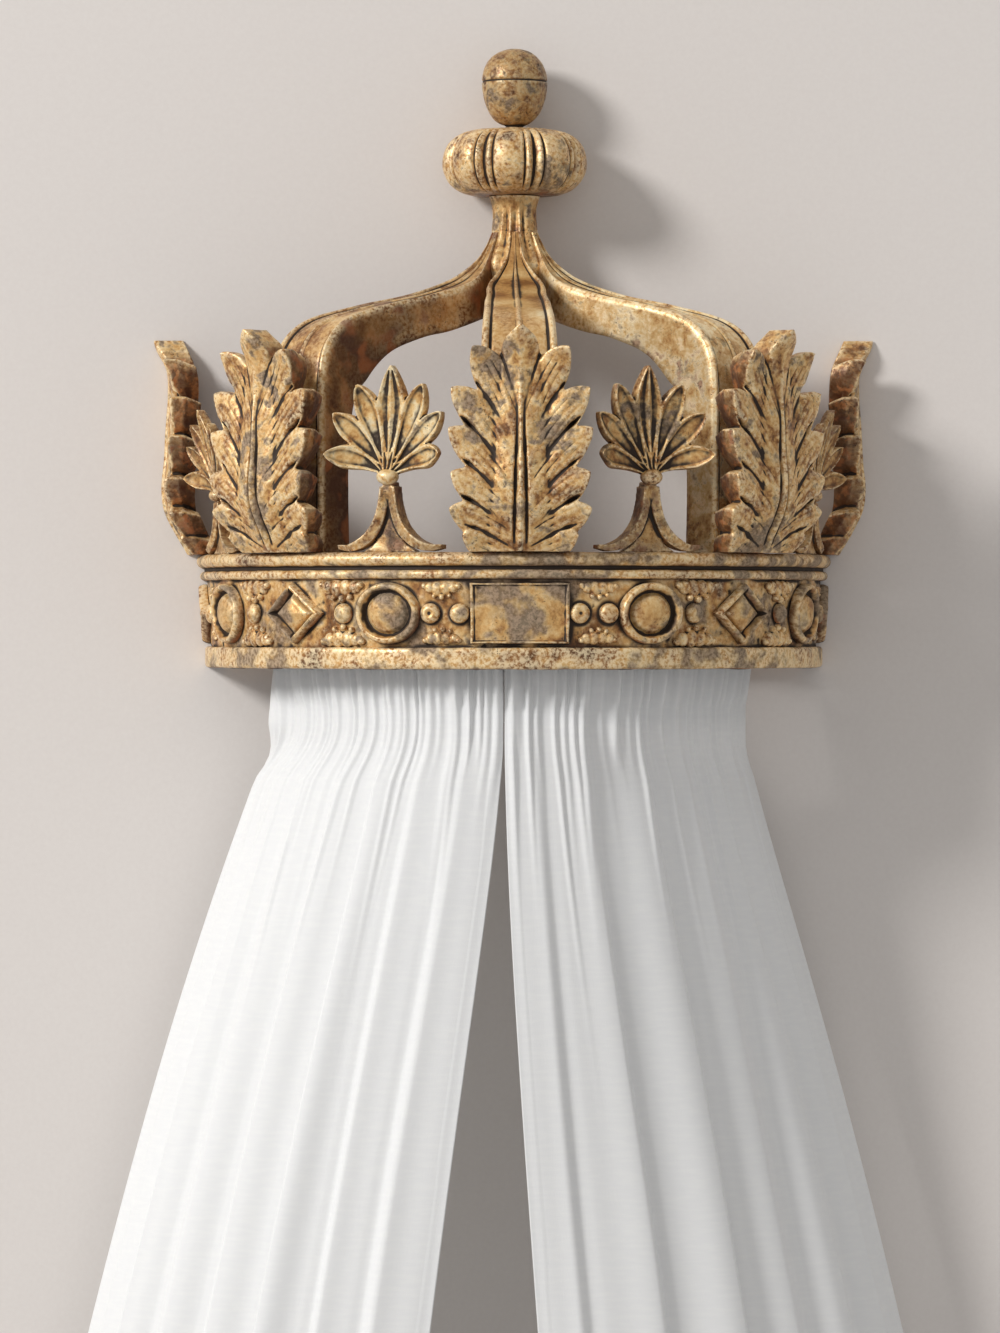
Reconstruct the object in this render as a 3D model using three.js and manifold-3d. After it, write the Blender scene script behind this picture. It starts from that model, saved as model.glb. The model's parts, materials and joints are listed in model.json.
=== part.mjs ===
// Half-round carved bed crown with two sheer panels, in millimetres.
// +Z is up, the front faces -Y, and the wall is the plane y = 0.
// The origin is on the wall, behind the middle of the band.
import * as THREE from 'three';
import { mergeVertices } from 'three/addons/utils/BufferGeometryUtils.js';
import Module from 'manifold-3d';

const wasm = await Module();
wasm.setup();

// Fits
const seat = 0.3; // gap between pieces that touch
const hair = 0.0005; // points nearer than this are one point
const overrun = 40; // how far a cutting block runs past what it cuts

// Band: a bent hoop with a cap moulding on top and a foot moulding below
const bandRadius = 266;
const bandTaper = 4;
const bandWall = 14;
const bandHeight = 97;
const capThickness = 8.2;
const capOverhang = 9;
const capLip = 2;
const capDrop = 22.2;
const torusHeight = 11.5;
const grooveHeight = 3;
const grooveDepth = 6.5;
const beadStand = 5;
const footHeight = 17.8;
const footStand = 5.4;
const footRound = 1.8;
const bandSteps = 32;

// Back rail, its corner blocks and its two hangers
const railThickness = 18;
const cornerBlockClearance = 2.7;
const cornerBlockDepth = 30;
const cornerBlockHeight = 60;
const hangerSpacing = 300;
const hangerWidth = 17;
const hangerHeight = 46;
const hangerThickness = 2;
const hangerRise = 14;
const keyholeHead = 9;
const keyholeSlot = 4.6;
const keyholeDrop = 7;
const keyholeRun = 11;
const keyholeDepth = 9;
const screwPitch = 34;
const screwHead = 6.4;
const screwHeadHeight = 1.2;
const screwShank = 3;
const screwLength = 14;
const screwCrownShare = 0.7;

// Curtain rod and its two sockets
const rodDiameter = 10;
const rodInset = 57; // from the hoop's inner face to the middle of the rod
const rodSetback = 32;
const rodHeight = -34;
const socketLength = 12;
const socketDiameter = 26;
const rodClearance = 0.9;
const rodSides = 8;
const rodSteps = 26;

// Ornaments on the band's face
const tabletWidth = 82;
const tabletHeight = 50;
const tabletRise = 5;
const ovalWidth = 57;
const ovalHeight = 51;
const ovalRise = 8.5;
const lozengeWidth = 64;
const lozengeHeight = 51;
const lozengeRise = 8;
const pearlDiameter = 17;
const pearlRise = 7;
const ovalAngles = [-67.1, -24.2, 24.2, 67.1];
const lozengeAngles = [-44.7, 44.7];
const pearlAngles = [-78.6, -56.6, -33.4, -16.2, -10.8, 10.8, 16.2, 33.4, 56.6, 78.6];

// Acanthus leaves
const leafHeight = 186;
const leafHalfWidth = 60;
const leafThickness = 19;
const leafThrow = 31;
const midribRise = 6;
const lobeCrown = 6;
const lobeCurl = 5;
const halfLeafReach = 55;
const leafAngles = [-47.4, 0, 47.4];

// Palmettes and the forked stems under them
const palmetteAngle = 23.7;
const outerPalmetteAngle = 69.3;
const outerPalmetteShare = 0.8;
const fanLength = 86;
const petalWidth = 24.6;
const petalThickness = 11;
const petalRim = 3.5;
const fanThrow = 16;
const hubDiameter = 22;
const hubHeight = 65;
const hubSquashShare = 0.8;
const stemWidth = 16;
const stemThickness = 16;
const stemFootReach = 47;
const stemFootThickness = 9;
const stemForkHeight = 17;

// Ribs that rise behind the leaves and meet at the hub
const legWidth = 64;
const lapHeight = 42;
const lapWidth = 50;
const ribRise = 277.5;
const ribRim = 3.2;

// Hub, neck, melon knop and ball finial
const neckSetback = 34;
const hubRadius = 12.7;
const neckRadius = 19;
const neckFlare = 3;
const neckHeight = 31.5;
const knopRadius = 62.4;
const knopHeight = 57;
const knopLobes = 8;
const knopTurn = -6.1;
const knopGroove = 4.2;
const ballRadius = 28.2;
const ballStemRadius = 8.4;
const ballStemHeight = 2.4;
const ballHeight = 69.5;
const ballSeam = 0.8;

// Sheer panels gathered on the rod
const clothThickness = 2;
const pocketRadius = 7.6;
const pocketDepth = 59;
const panelDrop = 2134;
const panelMeet = 1.4;
const leftPanel = {
  side: -1,
  outerStand: 17,
  outerFlare: 456,
  outerSoft: 1,
  innerFlare: 216,
  innerSoft: 150,
};
const rightPanel = {
  side: 1,
  outerStand: 5,
  outerFlare: 418,
  outerSoft: 60,
  innerFlare: 145,
  innerSoft: 500,
};
const partingOffset = 12.6;
const flareDepth = 1200;
const panelInnerRetreat = 80;
const settleDrop = 190;
const foldCount = 5.5;
const headerFold = 4.5;
const fullFold = 24;
const foldGrowth = 260;
const panelColumns = 32;

// Places worked out from the sizes above
const bandTop = bandHeight / 2;
const bandFoot = -bandHeight / 2;
const hoopInner = bandRadius - bandWall;
const rodRadius = hoopInner - rodInset;
const panelInnerDepth = rodSetback + rodRadius;
const capRadius = bandRadius + capOverhang;
const capInner = hoopInner - capLip;
const faceTop = bandTop - capDrop;
const faceFoot = bandFoot + footHeight;
const faceMiddle = (faceTop + faceFoot) / 2;
const chordShare = Math.cos(Math.PI / bandSteps / 2);
const standHeight = bandTop + seat;
const neckAxis = new THREE.Vector3(0, -neckSetback, 0);
const ribTop = bandTop + ribRise;
const neckFloor = ribTop + seat;
const knopFloor = neckFloor + neckHeight + seat;
const ballFloor = knopFloor + knopHeight + seat;
const legRadius = capRadius - leafThickness - legWidth ** 2 / 8 / bandRadius - seat;

const gilt = { color: 0xb08a5c, roughness: 0.45, metalness: 0.35 };
const darkGilt = { color: 0x8a6a48, roughness: 0.55, metalness: 0.25 };
const railWood = { color: 0x7a5d42, roughness: 0.75, metalness: 0 };
const steel = { color: 0x9a9a98, roughness: 0.4, metalness: 0.9 };
const sheer = { color: 0xf1f1ef, roughness: 0.85, metalness: 0 };

const crown = new THREE.Group();

function add(name, geometry, finish) {
  const mesh = new THREE.Mesh(geometry, new THREE.MeshStandardMaterial(finish));
  mesh.name = name;
  crown.add(mesh);
  return mesh;
}

// Shapes

const flat = ([x, y], z) => new THREE.Vector3(x, y, z);

// Geometry from triangles of points, turned so that its faces point outwards
function closedGeometry(triangles) {
  const kept = triangles.filter(([a, b, c]) => {
    return Math.min(a.distanceTo(b), b.distanceTo(c), c.distanceTo(a)) > hair;
  });
  const volume = kept.reduce((sum, [a, b, c]) => sum + a.dot(b.clone().cross(c)), 0);
  const ordered = volume < 0 ? kept.map(([a, b, c]) => [a, c, b]) : kept;
  const places = ordered.flat().flatMap((point) => point.toArray());
  const geometry = new THREE.BufferGeometry();
  geometry.setAttribute('position', new THREE.Float32BufferAttribute(places, 3));
  return mergeVertices(geometry, hair);
}

// Triangles that close one ring of points, wound as the ring is
function ringCap(ring) {
  const normal = new THREE.Vector3();
  ring.forEach((point, i) => {
    normal.add(point.clone().cross(ring[(i + 1) % ring.length]));
  });
  if (normal.length() < hair * hair) return [];
  normal.normalize();
  const across = ring[1].clone().sub(ring[0]).projectOnPlane(normal).normalize();
  const up = normal.clone().cross(across);
  const contour = ring.map((point) => new THREE.Vector2(point.dot(across), point.dot(up)));
  const faces = THREE.ShapeUtils.triangulateShape(contour, []);
  const areas = faces.map(([a, b, c]) => THREE.ShapeUtils.area([contour[a], contour[b], contour[c]]));
  const turned = areas.reduce((sum, area) => sum + area, 0) < 0;
  return faces.map(([a, b, c]) => {
    return turned ? [ring[a], ring[c], ring[b]] : [ring[a], ring[b], ring[c]];
  });
}

// Closed body through a row of rings with the same number of points
function loft(rings) {
  const triangles = [];
  rings.slice(1).forEach((far, i) => {
    const near = rings[i];
    near.forEach((point, j) => {
      const next = (j + 1) % near.length;
      triangles.push([point, far[j], far[next]], [point, far[next], near[next]]);
    });
  });
  const first = ringCap(rings[0]);
  const last = ringCap(rings.at(-1)).map(([a, b, c]) => [a, c, b]);
  return closedGeometry([...triangles, ...first, ...last]);
}

// Closed body between a front grid and a back grid of points
function slab(front, back, endWall = true) {
  const triangles = [];
  const quad = (a, b, c, d) => triangles.push([a, b, c], [a, c, d]);
  const rows = front.length - 1;
  const columns = front[0].length - 1;
  for (let i = 0; i < rows; i += 1) {
    for (let j = 0; j < columns; j += 1) {
      quad(front[i][j], front[i][j + 1], front[i + 1][j + 1], front[i + 1][j]);
      quad(back[i][j], back[i + 1][j], back[i + 1][j + 1], back[i][j + 1]);
    }
    quad(front[i][0], front[i + 1][0], back[i + 1][0], back[i][0]);
    quad(front[i][columns], back[i][columns], back[i + 1][columns], front[i + 1][columns]);
  }
  for (let j = 0; j < columns; j += 1) {
    quad(front[0][j], back[0][j], back[0][j + 1], front[0][j + 1]);
    if (endWall) {
      quad(front[rows][j], front[rows][j + 1], back[rows][j + 1], back[rows][j]);
    }
  }
  return closedGeometry(triangles);
}

function toSolid(geometry) {
  const bare = geometry.clone();
  bare.deleteAttribute('normal');
  bare.deleteAttribute('uv');
  const merged = mergeVertices(bare, hair);
  return new wasm.Manifold(new wasm.Mesh({
    numProp: 3,
    vertProperties: merged.attributes.position.array,
    triVerts: new Uint32Array(merged.index.array),
  }));
}

function toGeometry(solid) {
  const { vertProperties, triVerts } = solid.getMesh();
  const geometry = new THREE.BufferGeometry();
  geometry.setAttribute('position', new THREE.BufferAttribute(vertProperties, 3));
  geometry.setIndex(new THREE.BufferAttribute(triVerts, 1));
  return geometry;
}

function fuse(geometries) {
  const solids = geometries.map(toSolid);
  return toGeometry(solids.slice(1).reduce((sum, solid) => sum.add(solid), solids[0]));
}

function cut(geometry, cutters) {
  const start = toSolid(geometry);
  return toGeometry(cutters.reduce((left, cutter) => left.subtract(toSolid(cutter)), start));
}

function block(width, depth, height, x, y, z) {
  return new THREE.BoxGeometry(width, depth, height).translate(x, y, z);
}

// Everything behind the wall plane is cut away
function trimAtWall(geometry) {
  geometry.computeBoundingBox();
  const size = geometry.boundingBox.getSize(new THREE.Vector3());
  const middle = geometry.boundingBox.getCenter(new THREE.Vector3());
  const depth = size.y + overrun;
  return cut(geometry, [
    block(size.x + overrun, depth, size.z + overrun, middle.x, depth / 2, middle.z),
  ]);
}

// Values between listed places: a smooth curve through [place, value] pairs
function smooth(table, place) {
  const last = table.length - 1;
  const at = table.findIndex(([x]) => x >= place);
  const i = at < 1 ? (at === 0 ? 0 : last - 1) : at - 1;
  const [x0, y0] = table[i];
  const [x1, y1] = table[i + 1];
  const slope = (k) => {
    const a = table[Math.max(k - 1, 0)];
    const b = table[Math.min(k + 1, last)];
    return (b[1] - a[1]) / (b[0] - a[0]);
  };
  const span = x1 - x0;
  const t = Math.min(Math.max((place - x0) / span, 0), 1);
  const h = t * t * (3 - 2 * t);
  return y0 * (1 - h) + y1 * h
    + slope(i) * span * t * (1 - t) ** 2
    - slope(i + 1) * span * t * t * (1 - t);
}

const spaced = (count) => Array.from({ length: count + 1 }, (_, i) => i / count);
const mix = THREE.MathUtils.lerp;
const radians = THREE.MathUtils.degToRad;

// Angles go round the crown from its front: -90 is the left end at the wall, 90 the right
const outward = (angle) => new THREE.Vector3(Math.sin(angle), -Math.cos(angle), 0);
const along = (angle) => new THREE.Vector3(Math.cos(angle), Math.sin(angle), 0);

function onArc(angle, radius, height) {
  return outward(angle).multiplyScalar(radius).setZ(height);
}

// A point of a piece that stands square to the crown at an angle
function onStand(angle, side, radius, height) {
  const point = outward(angle).multiplyScalar(radius);
  return point.addScaledVector(along(angle), side).setZ(height);
}

// Half ring of one section, from wall to wall
function halfRing(section) {
  const rings = spaced(bandSteps).map((share) => {
    const angle = mix(-Math.PI / 2, Math.PI / 2, share);
    return section.map(([radius, height]) => onArc(angle, radius, height));
  });
  return loft(rings);
}

// Round nose between two heights of a moulding, as section points
function nose(radius, stand, low, high, count) {
  return spaced(count).map((share) => {
    const turn = Math.PI * share;
    const height = mix(low, high, (1 - Math.cos(turn)) / 2);
    return [radius + stand * Math.sin(turn), height];
  });
}

// Band

function hoop() {
  return halfRing([
    [hoopInner, bandFoot],
    [bandRadius - bandTaper, bandFoot],
    [bandRadius - bandTaper, faceFoot],
    [bandRadius, faceTop],
    [bandRadius, bandTop - capThickness - seat],
    [hoopInner, bandTop - capThickness - seat],
  ]);
}

function capMoulding() {
  const torusFoot = bandTop - torusHeight;
  const beadTop = torusFoot - grooveHeight;
  const throat = capRadius - grooveDepth;
  return halfRing([
    [capInner, bandTop - capThickness],
    [bandRadius + seat, bandTop - capThickness],
    [bandRadius + seat, faceTop],
    ...nose(throat, beadStand - grooveHeight / 2, faceTop, beadTop, 3),
    ...nose(throat, grooveDepth, torusFoot, bandTop, 4),
    [capInner, bandTop],
  ]);
}

function footMoulding() {
  const inner = bandRadius - bandTaper + seat;
  const outer = inner + footStand;
  return halfRing([
    [inner, bandFoot],
    [outer - footRound, bandFoot],
    [outer, bandFoot + footRound],
    [outer, faceFoot - footRound],
    [outer - footRound, faceFoot],
    [inner, faceFoot],
  ]);
}

const hoopClear = hoopInner * chordShare - seat;
const hangerPlaces = [-hangerSpacing / 2, hangerSpacing / 2];
const hangerRecess = screwHeadHeight + 2 * seat;

function backRail() {
  const half = Math.sqrt(hoopClear ** 2 - railThickness ** 2);
  const height = bandHeight - capThickness - seat;
  const middle = bandFoot + height / 2;
  const rail = block(2 * half, railThickness, height, 0, -railThickness / 2, middle);
  const cutters = hangerPlaces.flatMap((x) => hangerPocket(x));
  return cut(rail, cutters);
}

function hangerPocket(x) {
  const depth = hangerRecess + hangerThickness + seat;
  const plate = block(
    hangerWidth + 2 * seat, 2 * depth, hangerHeight + 2 * seat, x, 0, hangerRise,
  );
  const run = block(
    keyholeHead + 2 * seat, 2 * (depth + keyholeDepth), keyholeRun + keyholeHead,
    x, 0, hangerRise - keyholeDrop + keyholeRun / 2,
  );
  const bores = [-1, 1].map((end) => {
    const bore = new THREE.CylinderGeometry(
      screwShank / 2 + seat, screwShank / 2 + seat,
      2 * (screwLength + hangerRecess), 8,
    );
    return bore.translate(x, 0, hangerRise + end * screwPitch / 2);
  });
  return [plate, run, ...bores];
}

// Keyhole plate: a round entry below a narrow slot, and two screw holes
function hangerPlate(x) {
  const shape = new THREE.Shape();
  const w = hangerWidth / 2;
  const h = hangerHeight / 2;
  shape.moveTo(-w, -h + w);
  shape.absarc(0, -h + w, w, Math.PI, 2 * Math.PI, false);
  shape.lineTo(w, h - w);
  shape.absarc(0, h - w, w, 0, Math.PI, false);
  const key = new THREE.Path();
  const reach = Math.asin(keyholeSlot / keyholeHead);
  key.absarc(0, -keyholeDrop, keyholeHead / 2, Math.PI / 2 + reach, 2.5 * Math.PI - reach);
  key.absarc(0, keyholeRun - keyholeDrop, keyholeSlot / 2, 0, Math.PI);
  shape.holes.push(key);
  [-1, 1].forEach((end) => {
    const hole = new THREE.Path();
    hole.absarc(0, end * screwPitch / 2, screwShank / 2 + seat, 0, 2 * Math.PI);
    shape.holes.push(hole);
  });
  const plate = new THREE.ExtrudeGeometry(shape, {
    depth: hangerThickness, bevelEnabled: false, curveSegments: 3,
  });
  plate.rotateX(Math.PI / 2);
  return plate.translate(x, -hangerRecess, hangerRise);
}

// Round-headed wood screw whose head stands on the plate
function hangerScrew(x, z) {
  const head = screwHead / 2;
  const shank = screwShank / 2;
  const profile = [
    [0, -screwHeadHeight],
    [head * screwCrownShare, -screwHeadHeight],
    [head, -screwHeadHeight / 3],
    [head, 0],
    [shank, 0],
    [shank, screwLength - 2 * shank],
    [0, screwLength],
  ].map(([radius, height]) => new THREE.Vector2(radius, height));
  const screw = new THREE.LatheGeometry(profile, 8);
  screw.rotateX(Math.PI);
  return screw.translate(x, seat - hangerRecess, z);
}

// Glue block in the corner of hoop and rail, its outer side bent to the hoop
function cornerBlock(side) {
  const front = railThickness + seat;
  const back = front + cornerBlockDepth;
  const wall = (depth) => Math.sqrt(hoopClear ** 2 - depth ** 2);
  const outline = [
    [wall(front), front],
    ...spaced(4).slice(1).map((share) => {
      const depth = mix(front, back, share);
      return [wall(depth), depth];
    }),
    [rodRadius + socketDiameter / 2 + cornerBlockClearance, front],
  ];
  const ring = (height) => outline.map(([x, depth]) => flat([side * x, -depth], height));
  const low = faceMiddle - cornerBlockHeight / 2;
  return loft([ring(low), ring(low + cornerBlockHeight)]);
}

// Curtain rod: a half hoop whose straight ends stand in the sockets
function rodPath(share) {
  const straight = rodSetback - railThickness - seat;
  const angle = mix(-Math.PI / 2, Math.PI / 2, share);
  const point = onArc(angle, rodRadius, rodHeight);
  point.y -= rodSetback;
  return { point, angle, straight };
}

function curtainRod() {
  const radius = rodDiameter / 2;
  const ringAt = (point, angle) => spaced(rodSides).slice(1).map((share) => {
    const turn = 2 * Math.PI * share;
    return point.clone()
      .addScaledVector(outward(angle), radius * Math.cos(turn))
      .setZ(point.z + radius * Math.sin(turn));
  });
  const rings = spaced(rodSteps).map((share) => {
    const { point, angle } = rodPath(share);
    return ringAt(point, angle);
  });
  const ends = [0, 1].map((share) => {
    const { point, angle, straight } = rodPath(share);
    return ringAt(point.setY(point.y + straight), angle);
  });
  return loft([ends[0], ...rings, ends[1]]);
}

// Flange and cup of a socket, from its bore out: [wall share, length share]
const socketShares = [[0, 0], [1, 0], [1, 0.25], [0.5, 0.33], [0.4, 1], [0, 1], [0, 0]];

function rodSocket(side) {
  const bore = rodDiameter / 2 + rodClearance;
  const outer = socketDiameter / 2;
  const profile = socketShares.map(([wall, length]) => {
    return new THREE.Vector2(mix(bore, outer, wall), socketLength * length);
  });
  const socket = new THREE.LatheGeometry(profile, 16);
  socket.rotateX(Math.PI);
  return socket.translate(side * rodRadius, -railThickness - seat, rodHeight);
}

// Ornaments on the face of the band

function faceRadius(height) {
  const share = (height - faceFoot) / (faceTop - faceFoot);
  return bandRadius - bandTaper * (1 - share);
}

// Rings from the back of an ornament to the middle of its face: [size share, rise share]
const tabletRingShares = [
  [0, 0], [0.5, 0], [1, 0], [1, 0.72], [0.98, 1], [0.94, 1], [0.92, 0.72], [0.5, 0.72],
  [0, 0.72],
];
const ovalRingShares = [
  [0, 0], [0.6, 0], [1, 0], [1, 0.38], [0.93, 0.78], [0.82, 0.78], [0.72, 0.28],
  [0.6, 0.65], [0.35, 1], [0, 1],
];
const lozengeRingShares = [
  [0, 0], [0.5, 0], [1, 0], [1, 0.35], [0.94, 0.7], [0.8, 0.7], [0.74, 0.3], [0.66, 0.3],
  [0, 1],
];
const pearlRingShares = [[0, 0], [1, 0], [1, 0.3], [0.75, 0.8], [0.4, 1], [0, 1]];

// The outline gives [side, height] round the ornament at its full size
function ornament(angle, outline, ringShares, rise) {
  const point = ([side, height], size, lift) => {
    const z = faceMiddle + height * size;
    const radius = faceRadius(z) + seat + lift;
    return onArc(angle + (side * size) / bandRadius, radius, z);
  };
  return loft(ringShares.map(([size, up]) => {
    return outline.map((place) => point(place, size, rise * up));
  }));
}

const ellipse = (width, height, count) => spaced(count).slice(1).map((share) => {
  const turn = 2 * Math.PI * share;
  return [Math.cos(turn) * width / 2, Math.sin(turn) * height / 2];
});

// Straight-sided outline, each side in its own count of equal parts
function polygon(corners, parts) {
  return corners.flatMap((corner, i) => {
    const next = corners[(i + 1) % corners.length];
    return spaced(parts[i]).slice(0, -1).map((share) => [
      mix(corner[0], next[0], share),
      mix(corner[1], next[1], share),
    ]);
  });
}

function tablet() {
  const w = tabletWidth / 2;
  const h = tabletHeight / 2;
  const outline = polygon([[-w, -h], [w, -h], [w, h], [-w, h]], [7, 2, 7, 2]);
  return ornament(0, outline, tabletRingShares, tabletRise);
}

function oval(angle) {
  return ornament(angle, ellipse(ovalWidth, ovalHeight, 16), ovalRingShares, ovalRise);
}

function lozenge(angle) {
  const w = lozengeWidth / 2;
  const h = lozengeHeight / 2;
  const outline = polygon([[-w, 0], [0, -h], [w, 0], [0, h]], [4, 4, 4, 4]);
  return ornament(angle, outline, lozengeRingShares, lozengeRise);
}

function pearl(angle) {
  const outline = ellipse(pearlDiameter, pearlDiameter, 8);
  return ornament(angle, outline, pearlRingShares, pearlRise);
}

// Acanthus leaves

// How far the outer face leans out at each share of the height, as shares of the throw
const leanShares = [
  [0, 0], [0.11, 0.39], [0.2, 0.65], [0.3, 0.74], [0.42, 0.68],
  [0.6, 0.63], [0.75, 0.58], [0.87, 0.66], [0.95, 0.86], [1, 1],
];

// Lobes from the foot to the tip: where each lobe's tip is, as shares of half width
// and height, and how high on the midrib it springs, as a share of height
const lobeShares = [
  { tipSide: 0.62, tipHeight: 0, root: 0 },
  { tipSide: 0.98, tipHeight: 0.19, root: 0.02 },
  { tipSide: 0.95, tipHeight: 0.35, root: 0.06 },
  { tipSide: 0.98, tipHeight: 0.545, root: 0.15 },
  { tipSide: 0.96, tipHeight: 0.725, root: 0.28 },
  { tipSide: 0.67, tipHeight: 0.905, root: 0.44 },
  { tipSide: 0, tipHeight: 1, root: 0.56 },
];
const notchShare = 0.56;
const lobeBowShare = 0.1;
const rowsPerLobe = 4;
const veinShares = [0, 0.1, 0.42, 0.74, 1];

// One point of a leaf: lobe counts up the midrib, reach goes out from it
function leafPoint(lobe, reach, halfWidth) {
  const low = lobeShares[Math.min(Math.floor(lobe), lobeShares.length - 2)];
  const high = lobeShares[lobeShares.indexOf(low) + 1];
  const share = lobe - lobeShares.indexOf(low);
  const between = (key) => mix(low[key], high[key], share);
  const finger = Math.abs(Math.cos(Math.PI * lobe)) ** 0.75;
  const length = reach * (notchShare + (1 - notchShare) * finger);
  const bow = lobeBowShare * length * (1 - length) * (between('tipHeight') - between('root'));
  return {
    side: halfWidth * between('tipSide') * length,
    height: leafHeight * (mix(between('root'), between('tipHeight'), length) - bow),
    finger,
  };
}

// Front and back of the leaf at one point; side is -1 for its left half, 1 for its right
function leafPair(angle, lobe, reach, side, halfWidth) {
  const place = leafPoint(lobe, reach, halfWidth);
  const lean = leafThrow * smooth(leanShares, place.height / leafHeight);
  const wrap = place.side ** 2 / 2 / bandRadius;
  const back = capRadius - leafThickness + lean - wrap;
  const midrib = midribRise * Math.max(0, 1 - reach / veinShares[1]);
  const crowned = lobeCrown * (place.finger - 1) * Math.sin(Math.PI * reach);
  const foot = Math.min(1, place.height / (leafHeight * lobeShares[1].tipHeight));
  const relief = foot * (midrib + crowned + lobeCurl * reach ** 2 * place.finger);
  const z = standHeight + place.height;
  return [
    onStand(angle, side * place.side, back + leafThickness + relief, z),
    onStand(angle, side * place.side, back, z),
  ];
}

const lobeRows = spaced((lobeShares.length - 1) * rowsPerLobe)
  .map((share) => share * (lobeShares.length - 1));

function leaf(angle) {
  const columns = [
    ...veinShares.slice(1).reverse().map((reach) => [-1, reach]),
    ...veinShares.map((reach) => [1, reach]),
  ];
  const pairs = lobeRows.map((lobe) => columns.map(([side, reach]) => {
    return leafPair(angle, lobe, reach, side, leafHalfWidth);
  }));
  const layer = (which) => pairs.map((row) => row.map((pair) => pair[which]));
  return slab(layer(0), layer(1), false);
}

// Half leaf against the wall: side 1 at the left end, -1 at the right end
function halfLeaf(side) {
  const pairs = lobeRows.map((lobe) => veinShares.map((reach) => {
    return leafPair(-side * Math.PI / 2, lobe, reach, side, halfLeafReach);
  }));
  const layer = (which) => pairs.map((row) => row.map((pair) => pair[which]));
  return slab(layer(0), layer(1), true);
}

// Palmettes

const petals = [-3, -2, -1, 0, 1, 2, 3];
const petalAngles = [0, 22.5, 44, 73];
const petalLengthShares = [1, 0.88, 0.81, 0.62];
const petalDroop = [0, 4, 9, 24];
const petalRowWidthShares = [1, 0.78, 0.75, 0.67];
// Petal width along its length, as [length share, width share]
const petalWidthShares = [[0, 0.22], [0.35, 0.62], [0.7, 1], [1, 0.12]];
const petalStationShares = [0, 0.35, 0.7, 1];
// Half cross-section of a petal from its edge to its middle: where its rim is, as a share
// of the half width, and how far back its edge lies, as a share of the thickness
const petalRimShare = 0.75;
const petalEdgeShare = 0.6;

function petal(angle, number, size) {
  const side = Math.sign(number);
  const row = Math.abs(number);
  const length = fanLength * petalLengthShares[row] * size;
  const turnAt = (share) => side * radians(petalAngles[row] + petalDroop[row] * share);
  const rings = petalStationShares.map((share) => {
    const turn = turnAt(share);
    const reach = length * share;
    const width = petalWidth * size * petalRowWidthShares[row];
    const half = width * smooth(petalWidthShares, share) / 2;
    const front = capRadius - seat + fanThrow * size * share ** 2;
    const step = row * seat;
    const rim = half * petalRimShare;
    const edge = -petalThickness * petalEdgeShare;
    const section = [[-half, edge], [-rim, 0], [0, -petalRim], [rim, 0], [half, edge]];
    return section.map(([offset, lift]) => onStand(
      angle,
      Math.sin(turn) * reach + Math.cos(turn) * offset,
      front + lift - step,
      standHeight + hubHeight * size + Math.cos(turn) * reach - Math.sin(turn) * offset,
    ));
  });
  return loft(rings);
}

function palmette(angle, size) {
  const hub = new THREE.SphereGeometry(hubDiameter * size / 2, 8, 6);
  hub.scale(1, hubSquashShare, hubSquashShare);
  hub.rotateZ(angle);
  const place = onStand(angle, 0, capRadius - petalThickness / 2,
    standHeight + hubHeight * size);
  hub.translate(place.x, place.y, place.z);
  return fuse([hub, ...petals.map((number) => petal(angle, number, size))]);
}

// Bends of the stem's outline, as shares of the shaft's half width (out), of a foot's
// thickness (up), of its reach (foot) and of the stem's height (waist)
const stemShares = {
  tipUp: 0.7, shoulderOut: 1.9, shoulderUp: 1.5, waist: 0.72, flareOut: 1.15, archFoot: 0.72,
  archUp: 0.3,
};

// Forked stem: two feet on the cap join in one shaft under the palmette
function palmetteStem(angle, size) {
  const half = stemWidth * size / 2;
  const foot = stemFootReach * size;
  const fork = stemForkHeight * size;
  const rise = stemFootThickness * size;
  const top = (hubHeight - hubDiameter * hubSquashShare / 2) * size - seat;
  const tip = rise * stemShares.tipUp;
  const shoulder = [half * stemShares.shoulderOut, rise * stemShares.shoulderUp];
  const waist = top * stemShares.waist;
  const flare = half * stemShares.flareOut;
  const arch = foot * stemShares.archFoot;
  const crook = fork * stemShares.archUp;
  const shape = new THREE.Shape();
  shape.moveTo(foot, 0);
  shape.lineTo(foot, tip);
  shape.quadraticCurveTo(shoulder[0], shoulder[1], half, waist);
  shape.lineTo(flare, top);
  shape.lineTo(-flare, top);
  shape.lineTo(-half, waist);
  shape.quadraticCurveTo(-shoulder[0], shoulder[1], -foot, tip);
  shape.lineTo(-foot, 0);
  shape.lineTo(-arch, 0);
  shape.quadraticCurveTo(-half, crook, 0, fork);
  shape.quadraticCurveTo(half, crook, arch, 0);
  const stem = new THREE.ExtrudeGeometry(shape, {
    depth: stemThickness, bevelEnabled: false, curveSegments: 6,
  });
  stem.rotateX(Math.PI / 2);
  stem.rotateZ(angle);
  const place = onStand(angle, 0, capRadius - stemThickness - footRound, standHeight);
  return stem.translate(place.x, place.y, place.z);
}

// Ribs

// Outer and inner edge of a rib in its own upright plane: [reach share, height share],
// from the leg at share 1 to the hub at share 0, and from the cap to the top of the ribs
const ribOuterShares = [
  [1, 0], [1, 0.3], [1.003, 0.53], [0.99, 0.64], [0.943, 0.695], [0.853, 0.722],
  [0.624, 0.763], [0.385, 0.802], [0.207, 0.848], [0.144, 0.881], [0.09, 0.928],
  [0.052, 0.982], [0.042, 1],
];
const ribInnerShares = [
  [0.846, 0], [0.846, 0.3], [0.81, 0.473], [0.745, 0.532], [0.688, 0.579],
  [0.62, 0.618], [0.485, 0.66], [0.35, 0.683], [0.195, 0.719], [0.132, 0.73],
  [0.003, 0.75], [0.003, 0.93], [0.003, 1],
];
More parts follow.
